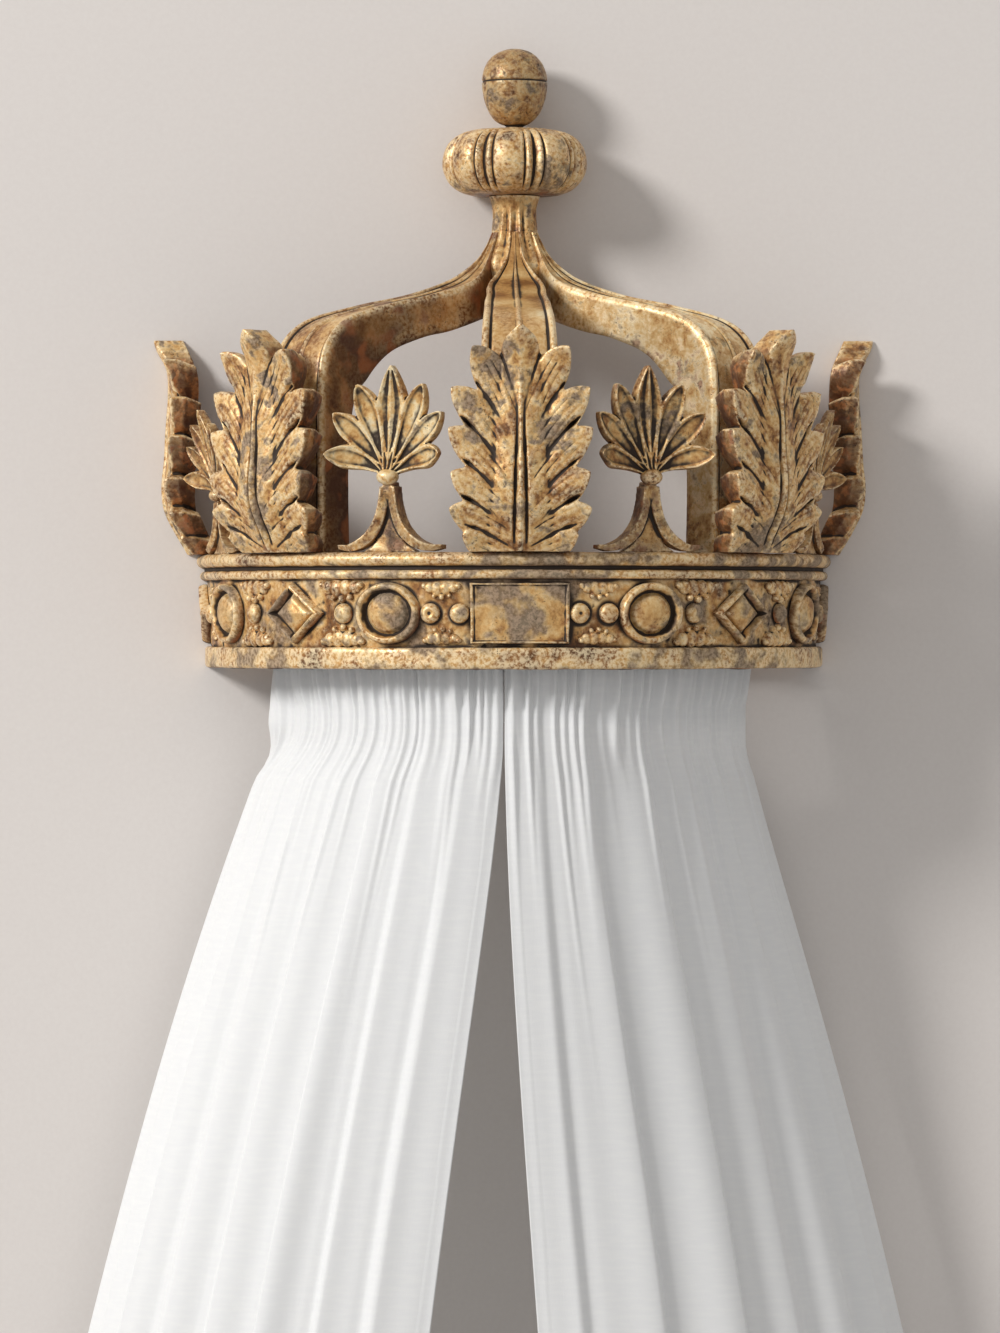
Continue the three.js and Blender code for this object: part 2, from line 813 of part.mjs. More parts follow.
// Width of the outer face along the reach, as [reach share, width share]
const ribWidthShares = [[0, 0.1], [0.05, 0.13], [0.09, 0.22], [0.15, 0.48],
  [0.21, 0.69], [0.385, 0.8], [0.85, 0.93], [1, 1]];
// Outer face of a rib across its width: [side share, sink share of the rim]
const ribFaceShares = [[-1, 1], [-0.92, 0], [-0.74, 1], [0, 0.25], [0.74, 1], [0.92, 0], [1, 1]];
const ribTurnShare = 0.6; // the leg faces outwards beyond this share of the reach
const ribStations = 26;

function rib(angle) {
  const leg = outward(angle).multiplyScalar(legRadius);
  const inward = leg.clone().sub(neckAxis);
  const reach = inward.length();
  const planAngle = Math.atan2(inward.x, -inward.y);
  const wedge = Math.tan(sideRibTurn / 2);
  const curveOf = (shares) => new THREE.CatmullRomCurve3(
    shares.map(([out, up]) => new THREE.Vector3(out, 0, up)), false, 'centripetal',
  );
  const outer = curveOf(ribOuterShares);
  const inner = curveOf(ribInnerShares);
  const place = (share) => {
    const distance = mix(hubRadius, reach, Math.max(share.x, 0));
    const height = mix(standHeight, ribTop, Math.min(share.z, 1));
    return { distance, height, share: share.x };
  };
  const rings = spaced(ribStations).map((step) => {
    const outerEdge = place(outer.getPoint(step));
    const innerEdge = place(inner.getPoint(step));
    const turn = mix(planAngle, angle, THREE.MathUtils.smoothstep(outerEdge.share, ribTurnShare, 1));
    const half = ({ distance, share }) => {
      const width = legWidth * smooth(ribWidthShares, share) / 2;
      return Math.min(width, distance * wedge - seat);
    };
    const point = ({ distance, height }, side, sink) => {
      const span = outerEdge.distance - innerEdge.distance;
      const drop = outerEdge.height - innerEdge.height;
      const depth = Math.hypot(span, drop);
      const place3 = leg.clone().addScaledVector(
        outward(turn), distance - reach - (sink * span) / depth,
      );
      place3.addScaledVector(along(turn), side);
      return place3.setZ(height - (sink * drop) / depth);
    };
    const o = half(outerEdge);
    const i = half(innerEdge);
    const rim = Math.min(ribRim, o / 3);
    return [
      ...ribFaceShares.map(([side, sink]) => point(outerEdge, o * side, rim * sink)),
      point(innerEdge, i, 0),
      point(innerEdge, -i, 0),
    ];
  });
  const half = lapWidth / 2;
  const lapOuter = Math.sqrt((capInner * chordShare) ** 2 - half ** 2) - seat;
  const lapInner = mix(hubRadius, reach, ribInnerShares[0][0]) + legRadius - reach;
  const lap = block(lapWidth, lapOuter - lapInner, lapHeight + overrun, 0,
    -(lapOuter + lapInner) / 2, standHeight - lapHeight + (lapHeight + overrun) / 2);
  lap.rotateZ(angle);
  return fuse([loft(rings), lap]);
}

const sideLeg = outward(radians(leafAngles[2])).multiplyScalar(legRadius).sub(neckAxis);
const sideRibTurn = Math.atan2(sideLeg.x, -sideLeg.y);

// Hub, neck, knop and ball

function turned(profile, segments) {
  const points = profile.map(([radius, height]) => new THREE.Vector2(radius, height));
  const body = new THREE.LatheGeometry(points, segments);
  return body.rotateX(Math.PI / 2).translate(0, -neckSetback, 0);
}

// Nose under the hub: [radius share, drop share of the hub's radius]
const hubNoseShares = [[0, 0.5], [0.6, 0.33], [1, 0]];
// Waist of the neck between its foot and its flare
const neckWaistShares = [0.25, 0.7];

function neck() {
  const hub = hubRadius - seat;
  const hubFloor = mix(standHeight, ribTop, ribInnerShares.at(-3)[1]);
  const top = knopFloor - seat;
  return turned([
    ...hubNoseShares.map(([out, down]) => [hub * out, hubFloor - hub * down]),
    [hub, neckFloor],
    [neckRadius + neckFlare / 2, neckFloor],
    ...neckWaistShares.map((share) => [neckRadius, mix(neckFloor, top, share)]),
    [neckRadius + neckFlare, top],
    [0, top],
  ], 18);
}

// Powers that fill out the knop's side and each lobe's dome; 1 is a plain sine
const knopFullness = 0.7;
const lobeFullness = 0.6;

// Melon knop: lobes round an upright axis, cut flat where it meets the wall
function knop() {
  const levels = spaced(7).map((share) => {
    const turn = Math.PI * share;
    const height = knopFloor + knopHeight * (1 - Math.cos(turn)) / 2;
    const bulge = Math.sin(turn) ** knopFullness;
    return { height, radius: mix(neckRadius + neckFlare, knopRadius, bulge), bulge };
  });
  const sides = knopLobes * 4;
  const rings = levels.map(({ height, radius, bulge }) => {
    return spaced(sides).slice(1).map((share) => {
      const turn = 2 * Math.PI * share;
      const lobe = Math.abs(Math.sin((turn * knopLobes) / 2)) ** lobeFullness;
      const reach = radius - knopGroove * (1 - lobe) * bulge;
      const angle = turn + radians(knopTurn) + Math.PI / knopLobes;
      return outward(angle).multiplyScalar(reach).add(neckAxis).setZ(height);
    });
  });
  return trimAtWall(loft(rings));
}

// Egg on a short stem: the lower half is longer than the upper one
const ballTurns = [-70, -56, -42, -28, -14];
const ballTopTurns = [14, 30, 46, 62, 78, 90];

function ballFinial() {
  const middle = ballFloor + ballHeight - ballRadius;
  const drop = middle - ballFloor - ballStemHeight;
  const point = (height) => (turn) => {
    return [ballRadius * Math.cos(radians(turn)), middle + height * Math.sin(radians(turn))];
  };
  return turned([
    [0, ballFloor],
    [ballStemRadius, ballFloor],
    ...ballTurns.map(point(drop)),
    [ballRadius, middle - ballSeam],
    [ballRadius - ballSeam, middle],
    [ballRadius, middle + ballSeam],
    ...ballTopTurns.map(point(ballRadius)),
  ], 20);
}

// Sheer panels

// A fall that starts gently after the soft length and then fades towards upright
function fade(drop, soft) {
  const eased = drop ** 2 / (drop + soft);
  return 1 - Math.exp(-eased / flareDepth);
}

// Plan of a panel at one height: the middle line from its edge at the wall, at share 0,
// to its front edge at share 1, with its outward direction
function panelPlan(panel, share, height) {
  const drop = Math.max(0, rodHeight - pocketDepth - height);
  const turn = Math.PI / 2 * share;
  const gap = (panelMeet / 2) * panel.side;
  const meet = gap - partingOffset;
  const endAngle = Math.asin(meet / rodRadius);
  const rodAngle = mix(panel.side * Math.PI / 2, endAngle, share);
  const onRod = onArc(rodAngle, rodRadius, height);
  onRod.y -= rodSetback;
  const outerX = panel.side
    * (rodRadius + panel.outerStand + panel.outerFlare * fade(drop, panel.outerSoft));
  const innerX = meet + panel.side * panel.innerFlare * fade(drop, panel.innerSoft);
  const innerDepth = panelInnerDepth - panelInnerRetreat * fade(drop, settleDrop);
  const wide = new THREE.Vector3(
    mix(innerX, outerX, Math.cos(turn)),
    -mix(rodSetback, innerDepth, Math.sin(turn)),
    height,
  );
  const normal = new THREE.Vector3(
    (innerDepth - rodSetback) * Math.cos(turn) * panel.side,
    -Math.abs(outerX - innerX) * Math.sin(turn),
    0,
  ).normalize();
  const spread = THREE.MathUtils.smoothstep(drop, 0, settleDrop);
  return {
    point: onRod.lerp(wide, spread),
    normal: outward(rodAngle).lerp(normal, spread).normalize(),
    drop,
  };
}

// Outward push of the folds: shallow at the rod, full further down
function fold(share, drop) {
  const turn = 2 * Math.PI * foldCount * share;
  const depth = mix(headerFold, fullFold, 1 - Math.exp(-drop / foldGrowth));
  const header = headerFold * Math.exp(-drop / foldGrowth);
  return header - depth * Math.cos(turn);
}

const panelDropShares = [0.03, 0.08, 0.15, 0.26, 0.42, 0.68, 1];

// Up the back of the pocket, over the rod, down the front and on to the hem
function panelRows() {
  const gap = clothThickness / 2 + seat;
  const seam = rodHeight - pocketDepth;
  const over = spaced(4).map((share) => {
    const turn = Math.PI * (1 - share);
    return [pocketRadius * Math.cos(turn), rodHeight + pocketRadius * Math.sin(turn)];
  });
  const hang = rodHeight + pocketRadius - panelDrop;
  return [
    [-gap, seam],
    ...over,
    [gap, seam],
    ...panelDropShares.map((share) => [gap, mix(seam, hang, share)]),
  ];
}

function sheerPanel(panel) {
  const rows = panelRows();
  const sides = rows.map(([out, height], i) => {
    const [outA, heightA] = rows[Math.max(i - 1, 0)];
    const [outB, heightB] = rows[Math.min(i + 1, rows.length - 1)];
    const length = Math.hypot(outB - outA, heightB - heightA);
    const half = clothThickness / 2 / length;
    return [(heightB - heightA) * half, (outA - outB) * half];
  });
  const outline = [
    ...rows.map((row, i) => [row, sides[i], 1]),
    ...rows.map((row, i) => [row, sides[i], -1]).reverse(),
  ];
  const frontRows = rows.findIndex(([out]) => out > 0);
  const rings = spaced(panelColumns).map((share) => outline.map(([row, side, way]) => {
    const [out, height] = row;
    const { point, normal, drop } = panelPlan(panel, share, height);
    const pushed = rows.indexOf(row) >= frontRows ? fold(share, drop) : 0;
    return point
      .addScaledVector(normal, out + way * side[0] + pushed)
      .setZ(height + way * side[1]);
  }));
  return loft(rings);
}

// The crown, piece by piece

add('hoop', hoop(), darkGilt);
add('cap_moulding', capMoulding(), gilt);
add('foot_moulding', footMoulding(), gilt);
add('back_rail', backRail(), railWood);
['left', 'right'].forEach((name, i) => {
  const side = i ? 1 : -1;
  const x = hangerPlaces[i];
  add(`corner_block_${name}`, cornerBlock(side), railWood);
  add(`hanger_plate_${name}`, hangerPlate(x), steel);
  add(`hanger_screw_${name}_low`, hangerScrew(x, hangerRise - screwPitch / 2), steel);
  add(`hanger_screw_${name}_high`, hangerScrew(x, hangerRise + screwPitch / 2), steel);
  add(`rod_socket_${name}`, rodSocket(side), steel);
});
add('curtain_rod', curtainRod(), steel);

add('tablet', tablet(), gilt);
ovalAngles.forEach((angle, i) => add(`oval_${i + 1}`, oval(radians(angle)), gilt));
lozengeAngles.forEach((angle, i) => add(`lozenge_${i + 1}`, lozenge(radians(angle)), gilt));
add('half_lozenge_left', trimAtWall(lozenge(-Math.PI / 2)), gilt);
add('half_lozenge_right', trimAtWall(lozenge(Math.PI / 2)), gilt);
pearlAngles.forEach((angle, i) => add(`pearl_${i + 1}`, pearl(radians(angle)), gilt));

['left', 'front', 'right'].forEach((name, i) => {
  add(`leaf_${name}`, leaf(radians(leafAngles[i])), gilt);
  add(`rib_${name}`, rib(radians(leafAngles[i])), darkGilt);
});
add('half_leaf_left', halfLeaf(1), gilt);
add('half_leaf_right', halfLeaf(-1), gilt);

[
  ['outer_left', -outerPalmetteAngle, outerPalmetteShare],
  ['left', -palmetteAngle, 1],
  ['right', palmetteAngle, 1],
  ['outer_right', outerPalmetteAngle, outerPalmetteShare],
].forEach(([name, angle, size]) => {
  add(`palmette_${name}`, palmette(radians(angle), size), gilt);
  add(`palmette_stem_${name}`, palmetteStem(radians(angle), size), darkGilt);
});

add('neck', neck(), darkGilt);
add('knop', knop(), gilt);
add('ball_finial', ballFinial(), darkGilt);

add('panel_left', sheerPanel(leftPanel), sheer);
add('panel_right', sheerPanel(rightPanel), sheer);

export default crown;
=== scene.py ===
# %% [markdown]
# # Carved bed crown with two sheer panels
# A half-round crown of carved wood hangs on the wall above the head of a bed.
# Three ribs rise behind acanthus leaves and meet under a melon knop and a ball.
# Two sheer panels are gathered on a bent rod inside the crown's band.
#
# The measured model comes first. Nothing in it is moved, so every carved piece made
# here is built around it, in metres, in the same frame: +Z up, the front towards -Y.

# %% Load the measured model
import json
import math

import bmesh
import bpy
import numpy as np
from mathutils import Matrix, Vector, noise

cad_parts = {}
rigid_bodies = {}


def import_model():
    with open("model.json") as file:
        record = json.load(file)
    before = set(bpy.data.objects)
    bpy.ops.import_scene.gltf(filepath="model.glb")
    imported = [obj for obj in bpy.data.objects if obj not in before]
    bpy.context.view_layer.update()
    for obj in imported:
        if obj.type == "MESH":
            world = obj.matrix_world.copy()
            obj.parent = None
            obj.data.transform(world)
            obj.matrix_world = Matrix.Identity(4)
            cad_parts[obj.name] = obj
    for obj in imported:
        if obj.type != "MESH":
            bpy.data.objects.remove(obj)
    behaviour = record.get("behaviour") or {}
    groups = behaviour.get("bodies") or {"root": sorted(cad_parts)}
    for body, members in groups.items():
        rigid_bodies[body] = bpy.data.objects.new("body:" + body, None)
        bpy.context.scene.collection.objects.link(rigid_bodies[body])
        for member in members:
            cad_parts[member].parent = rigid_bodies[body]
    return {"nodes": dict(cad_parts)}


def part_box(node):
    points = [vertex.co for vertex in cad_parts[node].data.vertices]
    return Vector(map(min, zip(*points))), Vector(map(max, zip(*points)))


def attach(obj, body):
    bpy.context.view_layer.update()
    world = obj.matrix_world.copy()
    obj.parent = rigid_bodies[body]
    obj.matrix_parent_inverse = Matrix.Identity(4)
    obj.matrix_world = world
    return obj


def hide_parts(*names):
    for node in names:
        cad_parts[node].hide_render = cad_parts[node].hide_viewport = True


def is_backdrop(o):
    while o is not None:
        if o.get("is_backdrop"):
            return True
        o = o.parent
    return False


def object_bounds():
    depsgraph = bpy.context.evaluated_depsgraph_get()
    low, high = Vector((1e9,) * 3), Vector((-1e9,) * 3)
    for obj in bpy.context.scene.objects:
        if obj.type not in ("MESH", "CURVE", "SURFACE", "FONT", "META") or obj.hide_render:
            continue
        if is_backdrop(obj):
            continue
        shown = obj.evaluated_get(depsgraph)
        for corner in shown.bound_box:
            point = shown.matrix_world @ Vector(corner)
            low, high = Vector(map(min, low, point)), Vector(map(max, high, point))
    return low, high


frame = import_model()
cad_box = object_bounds()
ROOT = "root"
MM = 0.001
print(f"{len(frame['nodes'])} measured pieces, {cad_box[1].z - cad_box[0].z:.3f} m tall")

# %% [markdown]
# ## Sizes shared by the whole crown
# The band is a half circle round the upright axis at the wall. Its radii and heights are
# read from the measured pieces, so the carving follows them if they change. Angles are
# counted from the front: -90 degrees is the left end at the wall and 90 the right end.

# %% Read the crown's radii and heights
hoop_low, hoop_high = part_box("hoop")
cap_low, cap_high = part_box("cap_moulding")
foot_low, foot_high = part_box("foot_moulding")
knop_low, knop_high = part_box("knop")
ball_low, ball_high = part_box("ball_finial")
neck_low, neck_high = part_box("neck")

SEAT = 0.3 * MM
BAND_RADIUS = -hoop_low.y
CAP_RADIUS = -cap_low.y
FOOT_RADIUS = -foot_low.y
BAND_WALL = 14 * MM
BAND_TAPER = 4 * MM
HOOP_INNER = BAND_RADIUS - BAND_WALL
CAP_INNER = HOOP_INNER - 2 * MM
CAP_TOP = cap_high.z
FACE_TOP = cap_low.z
FACE_FOOT = foot_high.z
FACE_MIDDLE = (FACE_TOP + FACE_FOOT) / 2
NECK_SETBACK = -(neck_low.y + neck_high.y) / 2
STAND = CAP_TOP + SEAT
print(f"band radius {BAND_RADIUS:.3f} m, cap radius {CAP_RADIUS:.3f} m")

# %% [markdown]
# ## Places on the crown
# A piece of carving is easiest to think of flat on the bench: `side` runs across it,
# `height` up it and `lift` out of it. These helpers bend that flat work round the crown.
# A Simple Deform modifier could bend a mesh too, but a formula also places single points.

# %% Bend flat work round the crown


def on_arc(angle, radius, height):
    """Points at angles and radii round the crown's axis."""
    shape = np.broadcast(angle, radius, height).shape
    x = np.sin(angle) * radius * np.ones(shape)
    y = -np.cos(angle) * radius * np.ones(shape)
    return np.stack([x, y, np.broadcast_to(height, shape)], -1)


def on_stand(angle, side, radius, height):
    """Points of a piece that stands square to the crown at one angle."""
    x = math.sin(angle) * radius + math.cos(angle) * side
    y = -math.cos(angle) * radius + math.sin(angle) * side
    return np.stack([x, y, height], -1)


print("front of the band:", on_arc(0.0, BAND_RADIUS, FACE_MIDDLE).round(3))

# %% [markdown]
# Carved shapes swell and fade without corners. A soft step and a smooth curve through a
# short table of values do that everywhere below.

# %% Draw smooth curves


def smoothstep(value, low, high):
    """A share that rises softly from 0 at low to 1 at high."""
    share = np.clip((value - low) / (high - low), 0, 1)
    return share * share * (3 - 2 * share)


def through(table, place):
    """A smooth curve through [place, value] pairs, read at many places."""
    keys = np.array(table, float)
    slopes = np.gradient(keys[:, 1], keys[:, 0])
    place = np.clip(place, keys[0, 0], keys[-1, 0])
    i = np.clip(np.searchsorted(keys[:, 0], place) - 1, 0, len(keys) - 2)
    span = keys[i + 1, 0] - keys[i, 0]
    t = (place - keys[i, 0]) / span
    rise = t * t * (3 - 2 * t)
    return (
        keys[i, 1] * (1 - rise)
        + keys[i + 1, 1] * rise
        + slopes[i] * span * t * (1 - t) ** 2
        - slopes[i + 1] * span * t * t * (1 - t)
    )


print("soft step:", smoothstep(np.linspace(0, 1, 5), 0, 1))

# %% [markdown]
# ## Turning rows of points into closed meshes
# Most of the crown is drawn as rows of points: rings along a moulding, sections along a
# leaf. One helper joins them with quads, in a regular grid that bends and dents evenly.

# %% Join rings of points into a body


def loft(rings, closed_ends=True):
    """Points and faces of a body through rings with the same number of points."""
    rings = np.asarray(rings, float)
    rows, columns = rings.shape[:2]
    index = np.arange(rows * columns).reshape(rows, columns)
    right = np.roll(index, -1, axis=1)
    quads = np.stack([index[:-1], index[1:], right[1:], right[:-1]], -1).reshape(-1, 4)
    faces = quads.tolist()
    if closed_ends:
        faces += [index[0].tolist(), index[-1][::-1].tolist()]
    return rings.reshape(-1, 3), faces


post = on_arc(np.linspace(0, math.pi, 4)[None, :], BAND_RADIUS, np.linspace(0, 1, 3)[:, None])
print("3 rings of 4 points make", len(loft(post)[1]), "faces")

# %% [markdown]
# A mesh is made from such points, with its doubles merged and its faces turned outwards.

# %% Make meshes from points


def mesh_from(name, points, faces):
    """A mesh with its doubles merged and its faces turned outwards."""
    mesh = bpy.data.meshes.new(name)
    mesh.from_pydata(np.asarray(points).tolist(), [], faces)
    work = bmesh.new()
    work.from_mesh(mesh)
    bmesh.ops.remove_doubles(work, verts=work.verts, dist=0.01 * MM)
    bmesh.ops.recalc_face_normals(work, faces=work.faces)
    work.to_mesh(mesh)
    work.free()
    return mesh


def joined(bodies):
    """Points and faces of several bodies as one."""
    points, faces, start = [], [], 0
    for body_points, body_faces in bodies:
        points.append(body_points)
        faces += [[i + start for i in face] for face in body_faces]
        start += len(body_points)
    return np.concatenate(points), faces


def points_of(mesh):
    points = np.empty(len(mesh.vertices) * 3)
    mesh.vertices.foreach_get("co", points)
    return points.reshape(-1, 3)


def set_points(mesh, points):
    mesh.vertices.foreach_set("co", np.asarray(points, float).ravel())
    mesh.update()


print("test mesh:", len(mesh_from("test_post", *loft(post)).polygons), "faces")
bpy.data.meshes.remove(bpy.data.meshes["test_post"])

# %% [markdown]
# ## Carving several bodies out of one block
# A carver cuts a leaf from one piece of wood, so its lobes flow together. Here they are
# separate closed bodies, melted together with a voxel remesh, which leaves the soft
# valleys and rounded edges of worn carving. Booleans would keep every corner sharp.

# %% Melt bodies together


def melted(name, bodies, voxel, softening=4):
    """One closed mesh round all the bodies, remeshed in cells of the voxel size."""
    piece = bpy.data.objects.new(name, mesh_from(name, *joined(bodies)))
    bpy.context.scene.collection.objects.link(piece)
    remesh = piece.modifiers.new("melt", "REMESH")
    remesh.mode = "VOXEL"
    remesh.voxel_size = voxel
    remesh.adaptivity = 0
    soften = piece.modifiers.new("soften", "SMOOTH")
    soften.factor = 0.5
    soften.iterations = softening
    graph = bpy.context.evaluated_depsgraph_get()
    mesh = bpy.data.meshes.new_from_object(piece.evaluated_get(graph))
    old = piece.data
    bpy.data.objects.remove(piece)
    bpy.data.meshes.remove(old)
    print(f"{name}: {len(bodies)} bodies melted into {len(mesh.polygons)} faces")
    return mesh


# %% [markdown]
# ## Dents
# A hand tool never leaves a dead straight face, so two sizes of noise push each point
# along its normal. A Displace modifier would dent the flat side at the wall too.

# %% Dent a mesh
DENT = 0.35 * MM
DENT_SIZE = 14 * MM


def normals_of(mesh):
    normals = np.empty(len(mesh.vertices) * 3)
    mesh.vertices.foreach_get("normal", normals)
    return normals.reshape(-1, 3)


def weathered(mesh, dents=DENT):
    """Soft tool marks and dents, so that no surface is dead straight."""
    points = points_of(mesh)
    scale = 1 / DENT_SIZE
    depth = np.array([noise.noise(Vector(p) * scale) for p in points.tolist()])
    fine = np.array([noise.noise(Vector(p) * scale * 3.1) for p in points.tolist()])
    push = (depth + 0.4 * fine) * dents
    wall = smoothstep(-points[:, 1], 0, 1 * MM)
    set_points(mesh, points + normals_of(mesh) * (push * wall)[:, None])


print(f"dents are {DENT / MM:.2f} mm deep")

# %% [markdown]
# ## Wear and painted shade
# Gilding is brightest on rubbed crests, and wax stays in the hollows. Here the pale
# crests also stand for the light they catch, a painted highlight, and the dark hollows
# also stand for the shade that falls in them, painted shade. Each point is compared with
# the average of its neighbours, near and further off. The red-brown ground shows on the
# sides and backs, which got less leaf. The three numbers go into a colour attribute that
# the finish reads. Baked cavity maps would need an image for each piece.

# %% Measure hollows, crests and turned-away faces
WEAR_AND_SHADE = "wear"
NEAR_STEPS, NEAR_BEND = 5, 0.35 * MM
FAR_STEPS, FAR_BEND = 36, 1.6 * MM


def diffused(points, ends, steps):
    """The points after so many rounds of averaging with their neighbours."""
    count = len(points)
    first, second = ends
    shared = np.bincount(first, minlength=count) + np.bincount(second, minlength=count)
    for _ in range(steps):
        sums = [
            np.bincount(first, points[second, axis], count)
            + np.bincount(second, points[first, axis], count)
            for axis in range(3)
        ]
        points = np.stack(sums, -1) / shared[:, None]
    return points


def mark_wear_and_shade(mesh, axis_y=0.0):
    """Stores hollow, crest and turned-away shares in the wear attribute."""
    points, normals = points_of(mesh), normals_of(mesh)
    ends = np.empty(len(mesh.edges) * 2, int)
    mesh.edges.foreach_get("vertices", ends)
    ends = ends.reshape(-1, 2).T
    close = diffused(points, ends, NEAR_STEPS)
    broad = diffused(close, ends, FAR_STEPS)
    bend_near = ((close - points) * normals).sum(1) / NEAR_BEND
    bend_far = ((broad - points) * normals).sum(1) / FAR_BEND
    bend = 0.6 * bend_near + 0.8 * bend_far
    outward = points[:, :2] - [0, axis_y]
    outward /= np.maximum(np.linalg.norm(outward, axis=1), MM)[:, None]
    facing = (normals[:, :2] * outward).sum(1)
    turned = 1 - smoothstep(np.maximum(facing, 0.85 * normals[:, 2]), -0.05, 0.55)
    colours = np.ones((len(points), 4))
    colours[:, 0] = np.clip(bend, 0, 1)
    colours[:, 1] = np.clip(-bend, 0, 1)
    colours[:, 2] = turned
    attribute = mesh.color_attributes.new(WEAR_AND_SHADE, "FLOAT_COLOR", "POINT")
    attribute.data.foreach_set("color", colours.ravel())


print("wear goes into the attribute", WEAR_AND_SHADE)

# %% [markdown]
# ## Node helpers
# This helper adds a node, sets its plain values and links its inputs, so that a finish
# below reads like a recipe.

# %% Add shader nodes by name


def paint(red, green, blue):
    """A colour written as on a paint chart, 0 to 255, turned into linear light."""
    return tuple(
        c / 12.92 if c <= 0.04045 else ((c + 0.055) / 1.055) ** 2.4
        for c in (red / 255, green / 255, blue / 255)
    ) + (1.0,)


def add_node(tree, kind, inputs=None, **settings):
    """Adds a node; inputs are sockets to link or plain values."""
    node = tree.nodes.new(kind)
    for name, value in settings.items():
        setattr(node, name, value)
    for name, value in (inputs or {}).items():
        if isinstance(value, bpy.types.NodeSocket):
            tree.links.new(value, node.inputs[name])
        else:
            node.inputs[name].default_value = value
    return node


print("mid grey in linear light:", round(paint(128, 128, 128)[0], 3))

# %% [markdown]
# Finishes are built from sums, blends, steps and noise, so each of these gets a helper
# of one line. The noise is always the same kind, read at the object's own places.

# %% Add sums, blends, steps and noise


def shader_maths(tree, operation, first, second=0.0, third=0.0):
    inputs = {0: first, 1: second, 2: third}
    return add_node(tree, "ShaderNodeMath", inputs, operation=operation).outputs[0]


def blended(tree, share, first, second):
    """A colour that goes from the first to the second as the share rises."""
    node = add_node(tree, "ShaderNodeMix", {"Factor": share}, data_type="RGBA")
    for socket, value in ((node.inputs[6], first), (node.inputs[7], second)):
        if isinstance(value, bpy.types.NodeSocket):
            tree.links.new(value, socket)
        else:
            socket.default_value = value
    return node.outputs[2]


def stepped(tree, value, low, high):
    """A share that rises from 0 at low to 1 at high."""
    limits = {"Value": value, "From Min": low, "From Max": high}
    node = add_node(tree, "ShaderNodeMapRange", limits, interpolation_type="SMOOTHSTEP")
    return node.outputs["Result"]


def mottle(tree, place, scale, detail=2.0, roughness=0.5, distortion=0.0):
    """Noise from 0 to 1 with so many patches to the metre."""
    inputs = {"Vector": place, "Scale": scale, "Detail": detail}
    inputs |= {"Roughness": roughness, "Distortion": distortion}
    return add_node(tree, "ShaderNodeTexNoise", inputs).outputs["Fac"]


def stretched(tree, place, scale):
    """Places stretched by a scale for each direction, for grain and threads."""
    return add_node(tree, "ShaderNodeMapping", {"Vector": place, "Scale": scale}).outputs[0]


def bumpy(tree, shader, height, distance, strength):
    """Small relief in the shader's normal, for what is too fine to model."""
    inputs = {"Height": height, "Distance": distance, "Strength": strength}
    bump = add_node(tree, "ShaderNodeBump", inputs)
    tree.links.new(bump.outputs[0], shader.inputs["Normal"])


def new_finish(name):
    """An empty material with its output and a Principled shader."""
    material = bpy.data.materials.new(name)
    material.use_nodes = True
    tree = material.node_tree
    tree.nodes.clear()
    shader = tree.nodes.new("ShaderNodeBsdfPrincipled")
    output = tree.nodes.new("ShaderNodeOutputMaterial")
    tree.links.new(shader.outputs[0], output.inputs["Surface"])
    return material, tree, shader, output


print("finishes so far:", len(bpy.data.materials))

# %% [markdown]
# ## Worn gold leaf
# The carving is coated with gesso and a red-brown ground, and gold leaf goes on top. With
# age the leaf wears off in patches and leaves a dull purple-brown, and umber wax darkens
# the hollows. That dark also stands for the shade in the hollows, painted shade, and the
# pale on rubbed crests also stands for a painted highlight. The recipe lays these coats in
# that order. One painted image per piece could do it too, but a rule reads the wear and
# shade numbers and fits every piece. The leaf comes first: patches of about 40 mm, 10 mm
# and 2 mm change its tone from brown to pale gold.

# %% Lay the leaf and the bare ground
LEAF_TONES = (
    (0.38, (96, 60, 32)), (0.44, (156, 108, 60)), (0.495, (206, 160, 98)),
    (0.55, (232, 196, 136)), (0.62, (252, 234, 192)),
)


def leaf_tones(tree, broad, middle, small, pale):
    """The colour of the leaf, from three sizes of patches; pale lifts it as a whole."""
    tone = shader_maths(tree, "MULTIPLY_ADD", small, 0.13, pale)
    tone = shader_maths(tree, "MULTIPLY_ADD", middle, 0.47, tone)
    tone = shader_maths(tree, "MULTIPLY_ADD", broad, 0.4, tone)
    leaf = add_node(tree, "ShaderNodeValToRGB", {"Fac": tone})
    ramp = leaf.color_ramp
    first, *between, last = LEAF_TONES
    for element, (position, colour) in zip(ramp.elements, (first, last)):
        element.position, element.color = position, paint(*colour)
    for position, colour in between:
        ramp.elements.new(position).color = paint(*colour)
    return leaf.outputs["Color"]


def bare_ground(tree, broad, middle, level):
    """How bare each place is: 0 under leaf, 0.85 where the ground shows."""
    patch = shader_maths(tree, "MULTIPLY", middle, 0.38)
    patch = shader_maths(tree, "MULTIPLY_ADD", broad, 0.62, patch)
    return shader_maths(tree, "MULTIPLY", stepped(tree, patch, level - 0.05, level + 0.03), 0.85)


print("the leaf has", len(LEAF_TONES), "tones")

# %% [markdown]
# Rust is the ground seen on sides and backs. The dark coat is wax and painted shade in the
# hollows, worm holes and flakes where the wood is worn, and a thin dirty wash.

# %% Rust the sides and darken the hollows


def rust_share(tree, turned, broad, side_rust, red):
    """Full on turned-away faces; red adds patches of it on the faces as well."""
    patches = shader_maths(tree, "MULTIPLY", stepped(tree, broad, 0.4, 0.6), red)
    rusty = shader_maths(tree, "MULTIPLY_ADD", turned, side_rust, patches)
    return shader_maths(tree, "MINIMUM", rusty, 0.9)


